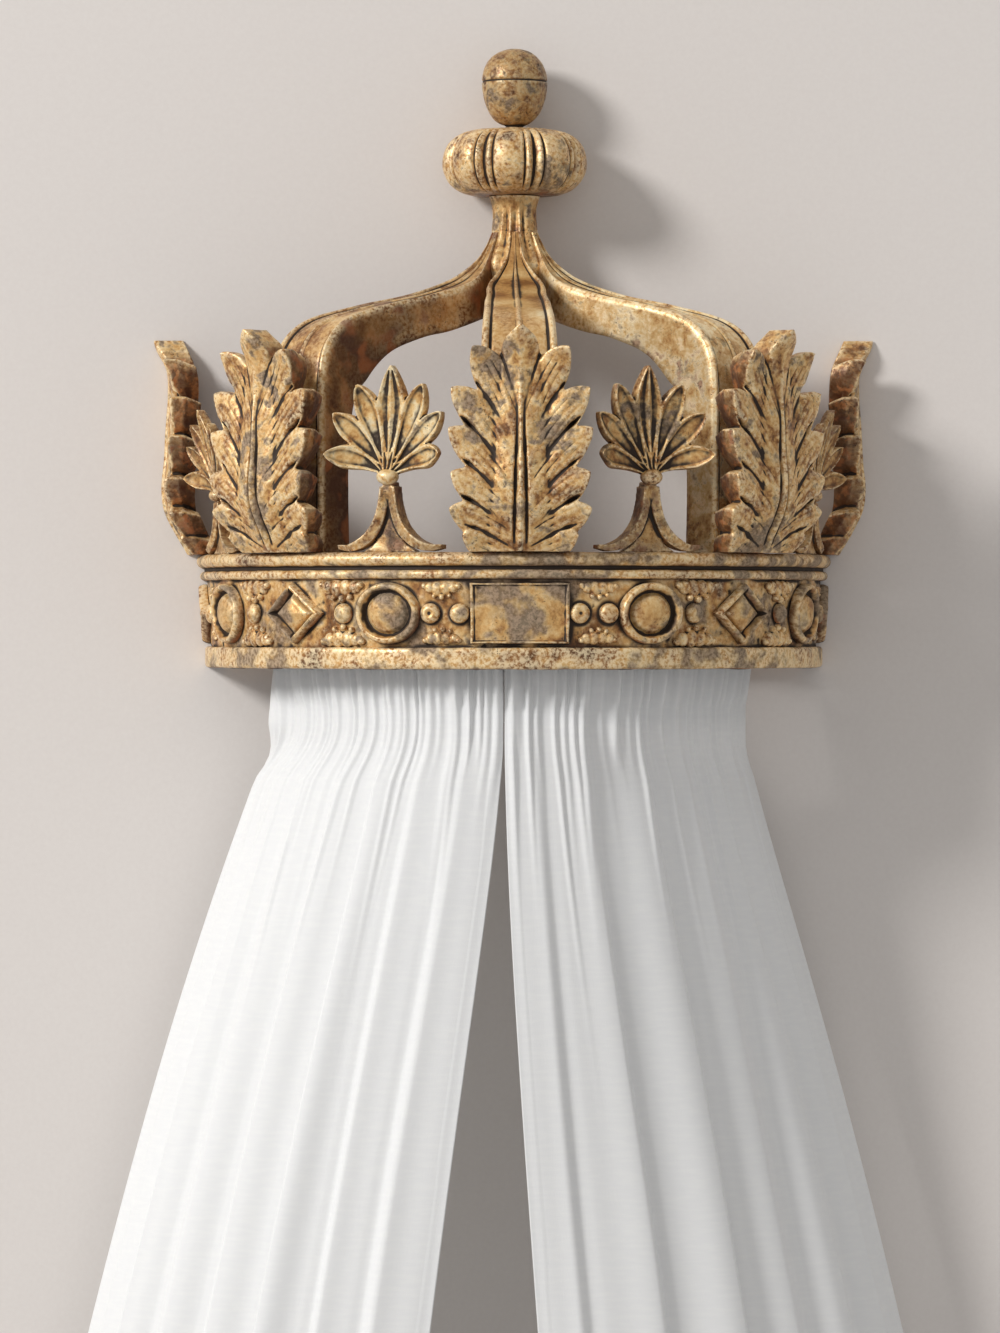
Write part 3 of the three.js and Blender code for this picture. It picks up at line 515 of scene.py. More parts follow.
def rubbed_and_highlight_share(tree, crest, turned, bare, small):
    """Pale crests, worn leaf and painted highlight, where there is leaf on them and they face
    outwards.
    """
    rubbed_and_highlight = shader_maths(tree, "MULTIPLY", crest, shader_maths(tree, "SUBTRACT", 1.0, bare))
    rubbed_and_highlight = shader_maths(tree, "MULTIPLY", rubbed_and_highlight, stepped(tree, small, 0.36, 0.6))
    facing = shader_maths(tree, "MULTIPLY_ADD", turned, -0.6, 0.7)
    return shader_maths(tree, "MULTIPLY", rubbed_and_highlight, facing)


def dark_coat_and_shade(tree, place, hollow, middle, patches):
    """Shares of the dark coat, with painted shade in the hollows, and of its worm holes."""
    # Wax and painted shade: the deeper the hollow, the darker
    grime_and_shade = shader_maths(tree, "MULTIPLY_ADD", middle, 0.5, -0.25)
    grime_and_shade = stepped(tree, shader_maths(tree, "ADD", hollow, grime_and_shade), 0.16, 0.6)
    worn = stepped(tree, mottle(tree, place, 30, 3, 0.6, 0.5), 0.44, 0.6)
    clusters = stepped(tree, mottle(tree, place, 130, 2), 0.42, 0.58)
    pits = stepped(tree, mottle(tree, place, 620, 2, 0.5), 0.61, 0.67)
    pits = shader_maths(tree, "MULTIPLY", pits, clusters)
    often = shader_maths(tree, "MULTIPLY_ADD", worn, 0.7, 0.3 / patches)
    pits = shader_maths(tree, "MULTIPLY", pits, often)
    wash = stepped(tree, mottle(tree, place, 60, 5, 0.7), 0.55, 0.66)
    strength = shader_maths(tree, "MULTIPLY_ADD", worn, 0.5 / patches, 0.03)
    wash = shader_maths(tree, "MULTIPLY", wash, strength)
    dark = shader_maths(tree, "MAXIMUM", grime_and_shade, shader_maths(tree, "MULTIPLY", pits, 0.8))
    return shader_maths(tree, "MAXIMUM", dark, wash), pits


print("the dark coat has wax, worm holes and wash")

# %% [markdown]
# Bare and dark places are rough and dull, and metal is only partial, because old leaf
# scatters light. The recipe's numbers are the size of the patches, how much ground is
# bare, how rusty the sides are and how pale the leaf is.

# %% Put the coats together


def dull_and_rough(tree, shader, bare, dark):
    """Roughness and metal from how bare or dark a place is."""
    dull = shader_maths(tree, "MAXIMUM", bare, dark)
    rough = add_node(tree, "ShaderNodeMapRange", {"Value": dull, "To Min": 0.4, "To Max": 0.72})
    tree.links.new(rough.outputs["Result"], shader.inputs["Roughness"])
    metal = shader_maths(tree, "MULTIPLY", shader_maths(tree, "SUBTRACT", 1.0, dull), 0.3)
    tree.links.new(metal, shader.inputs["Metallic"])
    shader.inputs["Specular IOR Level"].default_value = 0.45


def worn_gilding(
    name, bright=1.0, bare_level=0.575, red=0.0, side_rust=0.95, patches=1.0, pale=0.0
):
    """Old leaf over ground, with painted shade in hollows and a painted highlight on crests;
    patches above 1 makes them larger and the pits and wash milder.
    """
    material, tree, shader, _ = new_finish(name)
    place = add_node(tree, "ShaderNodeTexCoord").outputs["Object"]
    wear = add_node(tree, "ShaderNodeAttribute", attribute_name=WEAR_AND_SHADE)
    hollow, crest, turned = add_node(
        tree, "ShaderNodeSeparateColor", {"Color": wear.outputs["Color"]}
    ).outputs
    broad = mottle(tree, place, 21 / patches, 3, 0.6, 0.6)
    middle = mottle(tree, place, 90 / patches, 4, 0.6 / patches**0.5, 0.4)
    small = mottle(tree, place, 330, 3, 0.6)

    bare = bare_ground(tree, broad, middle, bare_level)
    earth = stepped(tree, small, 0.4, 0.62)
    ground = blended(tree, earth, paint(80, 58, 46), paint(136, 108, 90))
    coat = blended(tree, bare, leaf_tones(tree, broad, middle, small, pale), ground)
    iron = stepped(tree, middle, 0.48, 0.64)
    rust = blended(tree, iron, paint(84, 46, 28), paint(166, 98, 52))
    coat = blended(tree, rust_share(tree, turned, broad, side_rust, red), coat, rust)
    # Pale cream on outward crests: rubbed leaf and a painted highlight
    rubbed_and_highlight = rubbed_and_highlight_share(tree, crest, turned, bare, small)
    coat = blended(tree, rubbed_and_highlight, coat, paint(249, 229, 189))
    # Umber over the coat: worm holes, wash, wax, and painted shade in the hollows
    dark, pits = dark_coat_and_shade(tree, place, hollow, middle, patches)
    coat = blended(tree, dark, coat, paint(46, 33, 22))
    if bright != 1.0:
        dimmed = {"Color": coat, "Value": bright}
        coat = add_node(tree, "ShaderNodeHueSaturation", dimmed).outputs[0]
    tree.links.new(coat, shader.inputs["Base Color"])
    dull_and_rough(tree, shader, bare, dark)

    flakes = shader_maths(tree, "MULTIPLY_ADD", bare, 0.5, pits)
    relief = shader_maths(tree, "SUBTRACT", shader_maths(tree, "MULTIPLY", small, 0.6), flakes)
    bumpy(tree, shader, relief, 0.6 * MM, 0.7)
    return material


# %% [markdown]
# No two parts wore alike, so seven batches of one recipe are mixed: a dull one for the
# ball, one with larger patches for the band, a smooth one for the ribs, a pale one that is
# painted light for the pieces turned to the window, and a darker red one, partly painted
# shade, for the outer palmettes and stems.

# %% Mix the batches
gilding = worn_gilding("worn_gilding")
dull_gilding = worn_gilding("dull_gilding", bright=0.7, bare_level=0.55)
band_gilding = worn_gilding("band_gilding", bare_level=0.545, patches=1.8, pale=0.016)
# Painted light: a paler copy with less rust for the pieces whose faces turn to the window
pale_gilding = worn_gilding("pale_gilding", bare_level=0.61, side_rust=0.3, pale=0.05)
rib_gilding = worn_gilding(
    "rib_gilding", bright=0.95, bare_level=0.57, red=0.3, side_rust=0.6, patches=1.9
)
satin_gilding = worn_gilding(
    "satin_gilding", bright=0.95, bare_level=0.64, side_rust=0.6, patches=4
)
# A darker red copy, partly painted shade, for the outer palmettes and stems
red_gilding = worn_gilding("red_gilding", bright=0.9, bare_level=0.56, red=0.4, side_rust=0.5)
print("finishes so far:", len(bpy.data.materials))

# %% [markdown]
# ## Finishing a carved piece
# Every carved piece gets the same last steps: dents, numbers for wear and painted shade,
# smooth shading, a finish, and the measured pieces that it stands for. One function does
# them all.


def placed(name, mesh):
    """The mesh as a piece of the scene that rides on the crown."""
    piece = bpy.data.objects.new(name, mesh)
    bpy.context.scene.collection.objects.link(piece)
    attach(piece, ROOT)
    return piece


def finished(name, mesh, finish, stands_for=(), axis_y=0.0, dents=DENT):
    """A carved piece with its dents, its numbers for painted shade, highlight and worn leaf, and
    its finish, in place of its measured pieces.
    """
    if dents:
        weathered(mesh, dents)
    mark_wear_and_shade(mesh, axis_y)
    mesh.polygons.foreach_set("use_smooth", [True] * len(mesh.polygons))
    mesh.materials.clear()
    mesh.materials.append(finish)
    piece = placed(name, mesh)
    if stands_for:
        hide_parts(*stands_for)
    print(f"{name}: {len(mesh.polygons)} faces")
    return piece


# %% [markdown]
# ## Acanthus leaf
# Six pairs of long fingers sweep up and out from a flat stem. The leaf is 19 mm thick and
# its tips roll forward. It could be sculpted by hand, but a rule is easier to change: the
# ends of each finger are shares of the leaf's width and height. One leaf is melted flat
# on the bench and then bent round the crown at three angles.

# %% Set out a leaf
LEAF_HEIGHT = 186 * MM
LEAF_HALF_WIDTH = 60 * MM
LEAF_THICKNESS = 19 * MM
LEAF_THROW = 31 * MM
LEAF_ANGLES = (-47.4, 0.0, 47.4)
LEAF_VOXEL = 1.0 * MM
FINGER_HALF = 15.6 * MM
FINGER_CROWN = 3.4 * MM
FINGER_CURL = 8 * MM
FINGER_TILT = 1.6 * MM
FINGER_COLUMNS = 17
FINGER_UNDERCUT = 0.62
REAR_PULL = 9 * MM
# Tip across, tip up and root up, as shares of the half width and the height
FINGERS = (
    (0.80, 0.075, -0.05),
    (0.98, 0.19, 0.0),
    (0.96, 0.35, 0.05),
    (0.99, 0.545, 0.14),
    (0.95, 0.725, 0.27),
    (0.66, 0.905, 0.43),
)
# Length and depth of the eye above each finger: slits low down, drilled eyes high up
EYE_LENGTHS = (1.8, 3.0, 2.0, 3.4, 2.2, 3.2)
EYE_DEPTHS = (3, 9, 5, 10, 5, 8)
# How far the leaf's face leans out up its height, as shares of the throw
LEAF_LEAN = (
    (0, 0), (0.11, 0.39), (0.2, 0.65), (0.3, 0.74), (0.42, 0.68),
    (0.6, 0.63), (0.75, 0.58), (0.87, 0.66), (0.95, 0.86), (1, 1),
)
print(f"{2 * len(FINGERS)} fingers on a leaf of {LEAF_HEIGHT:.3f} m")

# %% [markdown]
# A finger is a row of cross-sections along a bent line. From the side the leaf shows as
# a stack of round knuckles, so each section is slimmer at its back than at its face.

# %% Draw a finger


def bezier(start, bend, end, shares):
    shares = shares[:, None]
    return (1 - shares) ** 2 * start + 2 * shares * (1 - shares) * bend + shares**2 * end


def finger_line(root, tip, count=30):
    """The curved middle line of a finger on the bench: steep at first, then outwards."""
    root, tip = np.array(root), np.array(tip)
    bend = root + (tip - root) * [0.3, 0.62]
    return bezier(root, bend, tip, np.linspace(0, 1, count))


def ways_along(line):
    """The way ahead and the way across at each point of a line on the bench."""
    ahead = np.gradient(line, axis=0)
    ahead /= np.linalg.norm(ahead, axis=1)[:, None]
    return ahead, np.stack([ahead[:, 1], -ahead[:, 0]], -1)


def finger_body(line, half, lift, crown=FINGER_CROWN, tilt=0.0, undercut=1.0, rear_pull=0.0):
    """A closed body along a line, from its half widths, lifts, crown and slimmer back."""
    ahead, across = ways_along(line)
    reach = np.sin(np.linspace(-math.pi / 2, math.pi / 2, FINGER_COLUMNS))
    rings = []
    for i, point in enumerate(line):
        places = point + across[i] * (half[i] * reach)[:, None]
        bulge = crown * min(1, half[i] / FINGER_HALF) * (1 - np.abs(reach) ** 2.4)
        face = lift[i] + bulge - tilt * reach
        front = np.stack([places[:, 0], -face, places[:, 1]], -1)
        slim = point + across[i] * (half[i] * reach * undercut)[:, None]
        slim -= ahead[i] * rear_pull * (i / len(line)) ** 4
        rear = np.stack([slim[:, 0], np.zeros(FINGER_COLUMNS), slim[:, 1]], -1)
        hip = (places * 0.8 + slim * 0.2)[[-1, 0]] + ahead[i] * rear_pull * 0.15
        belly = np.stack([hip[:, 0], front[[-1, 0], 1] * 0.55, hip[:, 1]], -1)
        rings.append(np.concatenate([front, belly[:1], rear[::-1], belly[1:]]))
    return loft(rings)


print(f"a finger is {2 * FINGER_HALF / MM:.0f} mm wide")

# %% [markdown]
# The faces of the fingers are tilted, so that each one catches light on its upper edge.

# %% Draw all the fingers and the stem
# Half width of a finger along its length, as shares: full to the middle, then a soft point
FINGER_SHAPE = (
    (0, 0.5), (0.25, 0.85), (0.45, 1), (0.66, 1), (0.77, 0.91), (0.86, 0.72),
    (0.93, 0.48), (0.98, 0.2), (1, 0.04),
)
STEM_SHAPE = ((0, 0.6), (0.3, 0.42), (0.6, 0.4), (0.84, 0.27), (0.93, 0.2), (1, 0.02))


def leaf_bodies():
    shares = np.linspace(0, 1, 30)
    size = np.array([LEAF_HALF_WIDTH, LEAF_HEIGHT])
    half = FINGER_HALF * through(FINGER_SHAPE, shares)
    lift = LEAF_THICKNESS + FINGER_CURL * shares**4 - 2.0 * MM * (1 - shares)
    bodies = []
    for tip_side, tip_up, root_up in FINGERS:
        for side in (-1, 1):
            root, tip = [0, root_up * size[1]], [side * tip_side * size[0], tip_up * size[1]]
            line, tilt = finger_line(root, tip), -side * FINGER_TILT
            finger = finger_body(
                line, half, lift, tilt=tilt, undercut=FINGER_UNDERCUT, rear_pull=REAR_PULL
            )
            bodies.append(finger)
    stem = finger_line([0, 0.0], [0, size[1]])
    half = through(STEM_SHAPE, shares)
    lift = LEAF_THICKNESS + 1.2 * MM + 5 * MM * smoothstep(shares, 0.82, 1)
    bodies.append(finger_body(stem, half * size[0], lift, crown=5 * MM))
    return bodies


bench_leaf = melted("bench_leaf", leaf_bodies(), LEAF_VOXEL, softening=2)

# %% [markdown]
# Grooves, veins and eyes are pressed into the melted leaf. The distance of each point to
# a groove's line decides how deep the gouge went. Booleans would cut too sharp an edge.

# %% Measure the distance to a groove


def distance_to(places, line):
    """Distance from each place to a line of points, and the share along it."""
    best = np.full(len(places), np.inf)
    share = np.zeros(len(places))
    for i in range(len(line) - 1):
        start, step = line[i], line[i + 1] - line[i]
        along = np.clip(((places - start) @ step) / (step @ step), 0, 1)
        gap = np.linalg.norm(places - start - along[:, None] * step, axis=1)
        nearer = gap < best
        best[nearer] = gap[nearer]
        share[nearer] = (i + along[nearer]) / (len(line) - 1)
    return best, share


def gouge(gap, half, depth):
    return depth * np.exp(-((gap / half) ** 2))


def between(share, start, full, fading, gone):
    """A share that rises from start to full and falls from fading to gone."""
    return smoothstep(share, start, full) * (1 - smoothstep(share, fading, gone))


print(f"a cut 1 mm wide is {gouge(1 * MM, 1 * MM, 1.0):.2f} deep at its edge")

# %% [markdown]
# Two grooves flank a raised midrib. Each finger has two fine veins, and the valley
# between two fingers ends in an eye: a shallow slit low on the leaf, and a deep hole
# higher up.

# %% Cut the midrib, the veins and the eyes
EYE_PLACE = 0.79
CUT_POINTS = 14
# The stem's tip takes the place of a next finger for the uppermost cut
LEAF_TIP = (0.1, 1.0, 0.6)


def midrib_cuts(side, up):
    apart = through([(0, 5.2), (0.3, 4.4), (0.55, 2.6), (0.8, 1.6), (1, 1.5)], up) * MM
    depth = 4.6 * MM * between(up, 0.015, 0.1, 0.36, 0.7)
    ridge = gouge(side, 2.2 * MM, 2.0 * MM * (1 - smoothstep(up, 0.6, 0.95)))
    return gouge(side - apart, 1.5 * MM, depth) - ridge


def vein_cuts(places, root, tip):
    gap, share = distance_to(places, finger_line(root, tip, CUT_POINTS))
    depth = 0.5 * MM * between(share, 0.25, 0.45, 0.75, 0.95)
    return gouge(gap, 1.3 * MM, depth) + gouge(gap - 5.4 * MM, 1.0 * MM, depth)


def parting_cuts(places, root, tip, eye_length, eye_depth):
    """The slit, the valley and the eye between two fingers."""
    line = finger_line(root, tip, CUT_POINTS)
    gap, share = distance_to(places, line)
    slit = gouge(gap, 1.5 * MM, 1.3 * MM * between(share, 0.42, 0.66, 0.88, 0.95))
    valley = gouge(gap, 3.6 * MM, 1.0 * MM * between(share, 0.08, 0.3, 0.55, 0.75))
    along = np.abs(share - EYE_PLACE) * np.linalg.norm(line[-1] - line[0])
    eye = gouge(np.hypot(gap, along / eye_length), 1.7 * MM, eye_depth * MM)
    return slit, valley, eye


def leaf_cuts(places):
    """How deep the gouge goes at each place on the bench, side and height."""
    size = np.array([LEAF_HALF_WIDTH, LEAF_HEIGHT])
    folded = np.stack([np.abs(places[:, 0]), places[:, 1]], -1)
    cuts = midrib_cuts(folded[:, 0], places[:, 1] / LEAF_HEIGHT)
    nexts = (*FINGERS[1:], LEAF_TIP)
    for finger, upper, *eye in zip(FINGERS, nexts, EYE_LENGTHS, EYE_DEPTHS):
        tip = np.array(finger[:2]) * size
        cuts += vein_cuts(folded, [0, finger[2] * size[1]], tip)
        parting_tip = (tip + np.array(upper[:2]) * size) / 2
        parting_root = [0, (finger[2] + upper[2]) / 2 * size[1]]
        for cut in parting_cuts(folded, parting_root, parting_tip, *eye):
            cuts += cut
    return cuts


print(f"{len(EYE_LENGTHS)} eyes on each side, {min(EYE_DEPTHS)} to {max(EYE_DEPTHS)} mm deep")

# %% [markdown]
# The carved leaf is bent round the crown and thrown forward. Its back stays plain.

# %% Carve the bench leaf and bend three copies


def carve_face(mesh, cuts_at, level):
    """Presses cuts into the points of a bench mesh whose lift is above a level."""
    points = points_of(mesh)
    share = smoothstep(-points[:, 1], level * 0.55, level * 0.9)
    chosen = share > 0
    cuts = cuts_at(points[chosen][:, (0, 2)])
    points[chosen, 1] += cuts * share[chosen]
    set_points(mesh, points)


def bend_leaf(mesh, angle, name):
    """A copy of a bench leaf, bent round the crown and thrown forward."""
    copy = mesh.copy()
    copy.name = name
    points = points_of(copy)
    side, lift, height = points[:, 0], -points[:, 1], points[:, 2]
    lean = LEAF_THROW * through(LEAF_LEAN, height / LEAF_HEIGHT)
    wrap = side**2 / 2 / BAND_RADIUS
    radius = CAP_RADIUS - LEAF_THICKNESS + lean - wrap + lift
    height = np.maximum(height, 0)
    set_points(copy, on_stand(math.radians(angle), side, radius, STAND + height))
    return copy


carve_face(bench_leaf, leaf_cuts, LEAF_THICKNESS)
for word, leaf_angle in zip(("left", "front", "right"), LEAF_ANGLES):
    bent = bend_leaf(bench_leaf, leaf_angle, f"acanthus_{word}")
    finished(f"acanthus_{word}", bent, gilding, [f"leaf_{word}"])

# %% [markdown]
# ## Half leaves against the wall
# At each end of the crown half an acanthus leaf stands square to the wall. It is the
# bench leaf sawn down its midrib and closed with a flat back. A bisect needs only a
# plane, where a boolean would need a block to cut with.

# %% Saw the bench leaf in two
HALF_LEAF_REACH = 55 * MM


def sawn(mesh, normal, name):
    """A copy of a mesh, cut by a plane through the origin and closed again."""
    copy = mesh.copy()
    copy.name = name
    work = bmesh.new()
    work.from_mesh(copy)
    everything = [*work.verts, *work.edges, *work.faces]
    cut = bmesh.ops.bisect_plane(
        work, geom=everything, plane_co=(0, 0, 0), plane_no=normal, clear_inner=True
    )
    edges = [item for item in cut["geom_cut"] if isinstance(item, bmesh.types.BMEdge)]
    bmesh.ops.triangle_fill(work, use_beauty=True, edges=edges)
    bmesh.ops.recalc_face_normals(work, faces=work.faces)
    work.to_mesh(copy)
    work.free()
    return copy


for word, way in (("left", 1), ("right", -1)):
    half = sawn(bench_leaf, (way, 0, 0), f"half_bench_leaf_{word}")
    points = points_of(half)
    points[:, 0] *= HALF_LEAF_REACH / LEAF_HALF_WIDTH
    set_points(half, points)
    bent = bend_leaf(half, -90 * way, f"half_acanthus_{word}")
    finished(f"half_acanthus_{word}", bent, gilding, [f"half_leaf_{word}"])

# %% [markdown]
# ## Palmettes
# Between the leaves stand palmettes: seven petals fan out from a small collar. Each petal
# is a shallow spoon with a raised rim, and the lowest pair droops and curls. A petal is a
# row of cross-sections along a bent line. The outer two palmettes are smaller, and each
# one leans a little, as work set by hand does.

# %% Set out a palmette
PALMETTE_ANGLES = {"outer_left": -69.3, "left": -23.7, "right": 23.7, "outer_right": 69.3}
OUTER_SIZE = 0.8
FINE_DENT = 0.25 * MM
FAN_LENGTH = 86 * MM
FAN_THROW = 16 * MM
FAN_DEPTH = 16 * MM
COLLAR_HEIGHT = 65 * MM
PALMETTE_VOXEL = 0.82 * MM
# Angle from upright, length share, droop at the tip, half width in mm
PETALS = ((0, 1.03, 0, 14), (21, 0.92, 1, 10.8), (41.5, 0.81, 3, 10.4), (63, 0.63, 10, 10.2))
FAN_LEAN = 0.12
PETAL_COLUMNS = 23
print(f"{2 * len(PETALS) - 1} petals in a fan of {FAN_LENGTH:.3f} m")

# %% Draw a petal


def petal_line(angle, length, droop, count=26):
    shares = np.linspace(0, 1, count)
    turn = np.radians(angle + np.sign(angle) * droop * shares**1.5)
    reach = length * shares
    return np.stack([np.sin(turn) * reach, COLLAR_HEIGHT + np.cos(turn) * reach], -1)


def petal_widths(shares, half_width, row):
    """Half widths from the narrow root to the tip; the middle petal is more pointed."""
    widest, blunt = (0.62, 1.35) if row == 0 else (0.7, 1.8)
    swell = [(0, 0.24), (widest * 0.5, 0.6), (widest, 1), (1, 0.97)]
    ending = np.clip((shares - widest) / (1 - widest), 0, 1) ** blunt
    return half_width * through(swell, shares) * np.clip(1 - ending, 0.02, 1) ** 0.72


def petal_body(line, half_width, row):
    """A spoon with a raised rim; the middle petal, row 0, is a lance with a ridge."""
    shares = np.linspace(0, 1, len(line))
    _, across = ways_along(line)
    width = petal_widths(shares, half_width, row)
    reach = np.sin(np.linspace(-math.pi / 2, math.pi / 2, PETAL_COLUMNS))
    rings = []
    for i, point in enumerate(line):
        share = shares[i]
        deep = min(1, width[i] / (5 * MM))
        rim = 2.0 * MM * deep * np.exp(-(((np.abs(reach) - 0.8) / 0.17) ** 2))
        hollow = -1.6 * MM * deep * (1 - reach**2)
        ridge = 2.6 * MM * np.exp(-((reach / 0.16) ** 2)) * deep if row == 0 else 0
        edge = -4.5 * MM * deep * smoothstep(np.abs(reach), 0.86, 1.02)
        curl = 5 * MM * share**4 if row == 3 else 0
        lift = FAN_DEPTH + FAN_THROW * share**2 - 1.1 * MM * row + curl
        face = lift + rim + hollow + ridge + edge
        back = lift - 8.5 * MM - 2.5 * MM * (1 - reach**2) * deep
        places = point + across[i] * (width[i] * reach)[:, None]
        front = np.stack([places[:, 0], -face, places[:, 1]], -1)
        rear = np.stack([places[:, 0], -back, places[:, 1]], -1)
        rings.append(np.concatenate([front, rear[::-1]]))
    return loft(rings)


print(f"petals are {2 * PETALS[2][3]} to {2 * PETALS[0][3]} mm wide")

# %% [markdown]
# The petals meet in a squashed ball, which serves again for the sprigs and the stitches.

# %% Put the petals and the collar together


def round_body(middle, radii, columns=28, rows=14):
    """A squashed ball at a bench place (side, lift, height)."""
    turn = np.linspace(0, 2 * math.pi, columns, endpoint=False)
    tilt = np.linspace(-math.pi / 2 + 0.05, math.pi / 2 - 0.05, rows)
    rings = []
    for level in tilt:
        x = middle[0] + radii[0] * math.cos(level) * np.cos(turn)
        y = -middle[1] + radii[1] * math.cos(level) * np.sin(turn)
        z = np.full(columns, middle[2] + radii[2] * math.sin(level))
        rings.append(np.stack([x, y, z], -1))
    return loft(rings)


def palmette_bodies():
    collar = (0, FAN_DEPTH - 3 * MM, COLLAR_HEIGHT - 3 * MM)
    bodies = []
    for row, (angle, length, droop, half) in enumerate(PETALS):
        for way in (-1, 1) if row else (1,):
            line = petal_line(way * angle, FAN_LENGTH * length, droop)
            bodies.append(petal_body(line, half * MM, row))
    bodies.append(round_body(collar, (9.5 * MM, 9 * MM, 7 * MM)))
    return bodies


bench_palmette = melted("bench_palmette", palmette_bodies(), PALMETTE_VOXEL, softening=2)

# %% [markdown]
# The bench palmette is copied, sized, leant over and stood on the cap.

# %% Stand four palmettes on the crown


def stand_up(mesh, angle, size, floor_lift, name, lean=0.0):
    """A copy of a bench piece, sized and stood square to the crown at an angle."""
    copy = mesh.copy()
    copy.name = name
    points = points_of(copy)
    points[:, 0] += lean * np.maximum(0, points[:, 2] - COLLAR_HEIGHT)
    side, height = points[:, 0] * size, STAND + points[:, 2] * size
    radius = CAP_RADIUS - SEAT - (floor_lift + points[:, 1]) * size
    set_points(copy, on_stand(math.radians(angle), side, radius, height))
    return copy


def palmette_size(word):
    return OUTER_SIZE if "outer" in word else 1.0


for word, angle in PALMETTE_ANGLES.items():
    size = palmette_size(word)
    lean = -math.copysign(FAN_LEAN, angle) * (-1.2 if "outer" in word else 1)
    # The left palmette takes the painted light, the outer ones the darker red with painted shade
    finish = {"left": pale_gilding, "right": gilding}.get(word, red_gilding)
    mesh = stand_up(bench_palmette, angle, size, FAN_DEPTH, f"fan_{word}", lean)
    finished(f"fan_{word}", mesh, finish, [f"palmette_{word}"], dents=FINE_DENT)

# %% [markdown]
# ## Forked stems
# Each palmette stands on a stem that forks into two feet, like a wishbone upside down.
# Two bent tapering bodies are melted with a recessed web between them, so that the fork
# and the shaft are of one piece.

# %% Draw the forked stems
STEM_DEPTH = 15.5 * MM
STEM_SETBACK = 1.8 * MM
STEM_TOP = 58 * MM
# Side and height of a foot's tip, of its bend and of its upper end, in mm
FOOT_LINE = ((47, 2.6), (5, 1.5), (3.4, 54))
FOOT_WIDTHS = ((0, 1.8), (0.2, 3.4), (0.5, 4.4), (0.75, 4.0), (1, 3.6))
WEB_WIDTHS = ((0, 24), (0.1, 15), (0.3, 8.5), (0.55, 5.6), (0.8, 4.8), (1, 4.6))


def stem_bodies():
    shares = np.linspace(0, 1, 34)
    bodies = []
    for way in (-1, 1):
        start, bend, end = (np.array([side * way * MM, up * MM]) for side, up in FOOT_LINE)
        line = bezier(start, bend, end, shares)
        line[:, 1] += 1.6 * MM * (1 - smoothstep(shares, 0, 0.14))
        half = through(FOOT_WIDTHS, shares) * MM
        lift = STEM_DEPTH - 4.5 * MM * (1 - smoothstep(shares, 0, 0.3))
        bodies.append(finger_body(line, half, lift, crown=1.2 * MM, tilt=-way * 1.3 * MM))
    up = np.linspace(0, 1, 20)
    web = np.stack([np.zeros(20), np.linspace(0, STEM_TOP, 20)], -1)
    half = through(WEB_WIDTHS, up) * MM
    lift = STEM_DEPTH - 5.5 * MM * (1 - smoothstep(up, 0.5, 0.85))
    bodies.append(finger_body(web, half, lift, crown=0.8 * MM))
    return bodies


bench_stem = melted("bench_stem", stem_bodies(), PALMETTE_VOXEL, softening=3)
for word, angle in PALMETTE_ANGLES.items():
    depth = STEM_DEPTH + STEM_SETBACK
    mesh = stand_up(bench_stem, angle, palmette_size(word), depth, f"wishbone_{word}")
    points = points_of(mesh)
    points[:, 2] = np.maximum(points[:, 2], STAND)
    set_points(mesh, points)
    nodes = [f"palmette_stem_{word}"]
    # The stems take the darker red copy with its painted shade
    finished(f"wishbone_{word}", mesh, red_gilding, nodes, dents=FINE_DENT)
# %% [markdown]
# ## Ribs
# Three ribs rise behind the leaves, bend over and meet at the hub. Each is drawn in its
# own upright plane by its outer and inner edge, given as shares of its reach and height.
# The outer face has a rounded rim and narrows to a fine ridge on the neck. A bevelled
# curve would keep one section all along, and here the section changes.

# %% Set out the ribs
NECK_AXIS = np.array([0.0, -NECK_SETBACK])
RIB_TOP = 326 * MM
HUB_RADIUS = 12.7 * MM
LEG_WIDTH = 64 * MM
LAP_WIDTH = 50 * MM
LAP_HEIGHT = 42 * MM
RIB_RIM = 3.2 * MM
LEG_RADIUS = CAP_RADIUS - LEAF_THICKNESS - LEG_WIDTH**2 / 8 / BAND_RADIUS - SEAT
RIB_OUTER = (
    (1, 0), (1, 0.3), (1, 0.5), (0.981, 0.6), (0.93, 0.664), (0.845, 0.712),
    (0.624, 0.763), (0.385, 0.802), (0.207, 0.848), (0.144, 0.881), (0.09, 0.928),
    (0.052, 0.982), (0.042, 1),
)
RIB_INNER = (
    (0.846, 0), (0.846, 0.3), (0.81, 0.473), (0.745, 0.532), (0.688, 0.579),
    (0.62, 0.618), (0.485, 0.66), (0.35, 0.683), (0.195, 0.719), (0.132, 0.73),
    (0.003, 0.75), (0.003, 0.93), (0.003, 1),
)
RIB_WIDTH = (
    (0, 0.1), (0.05, 0.13), (0.09, 0.22), (0.15, 0.48), (0.21, 0.69), (0.385, 0.8),
    (0.85, 0.93), (1, 1),
)
print(f"the ribs' legs stand at a radius of {LEG_RADIUS:.3f} m")

# %% [markdown]
# The curve through the knots keeps round corners where knots lie close together. The face
# of a rib sinks between its rims.

# %% Draw the curve and the face of a rib


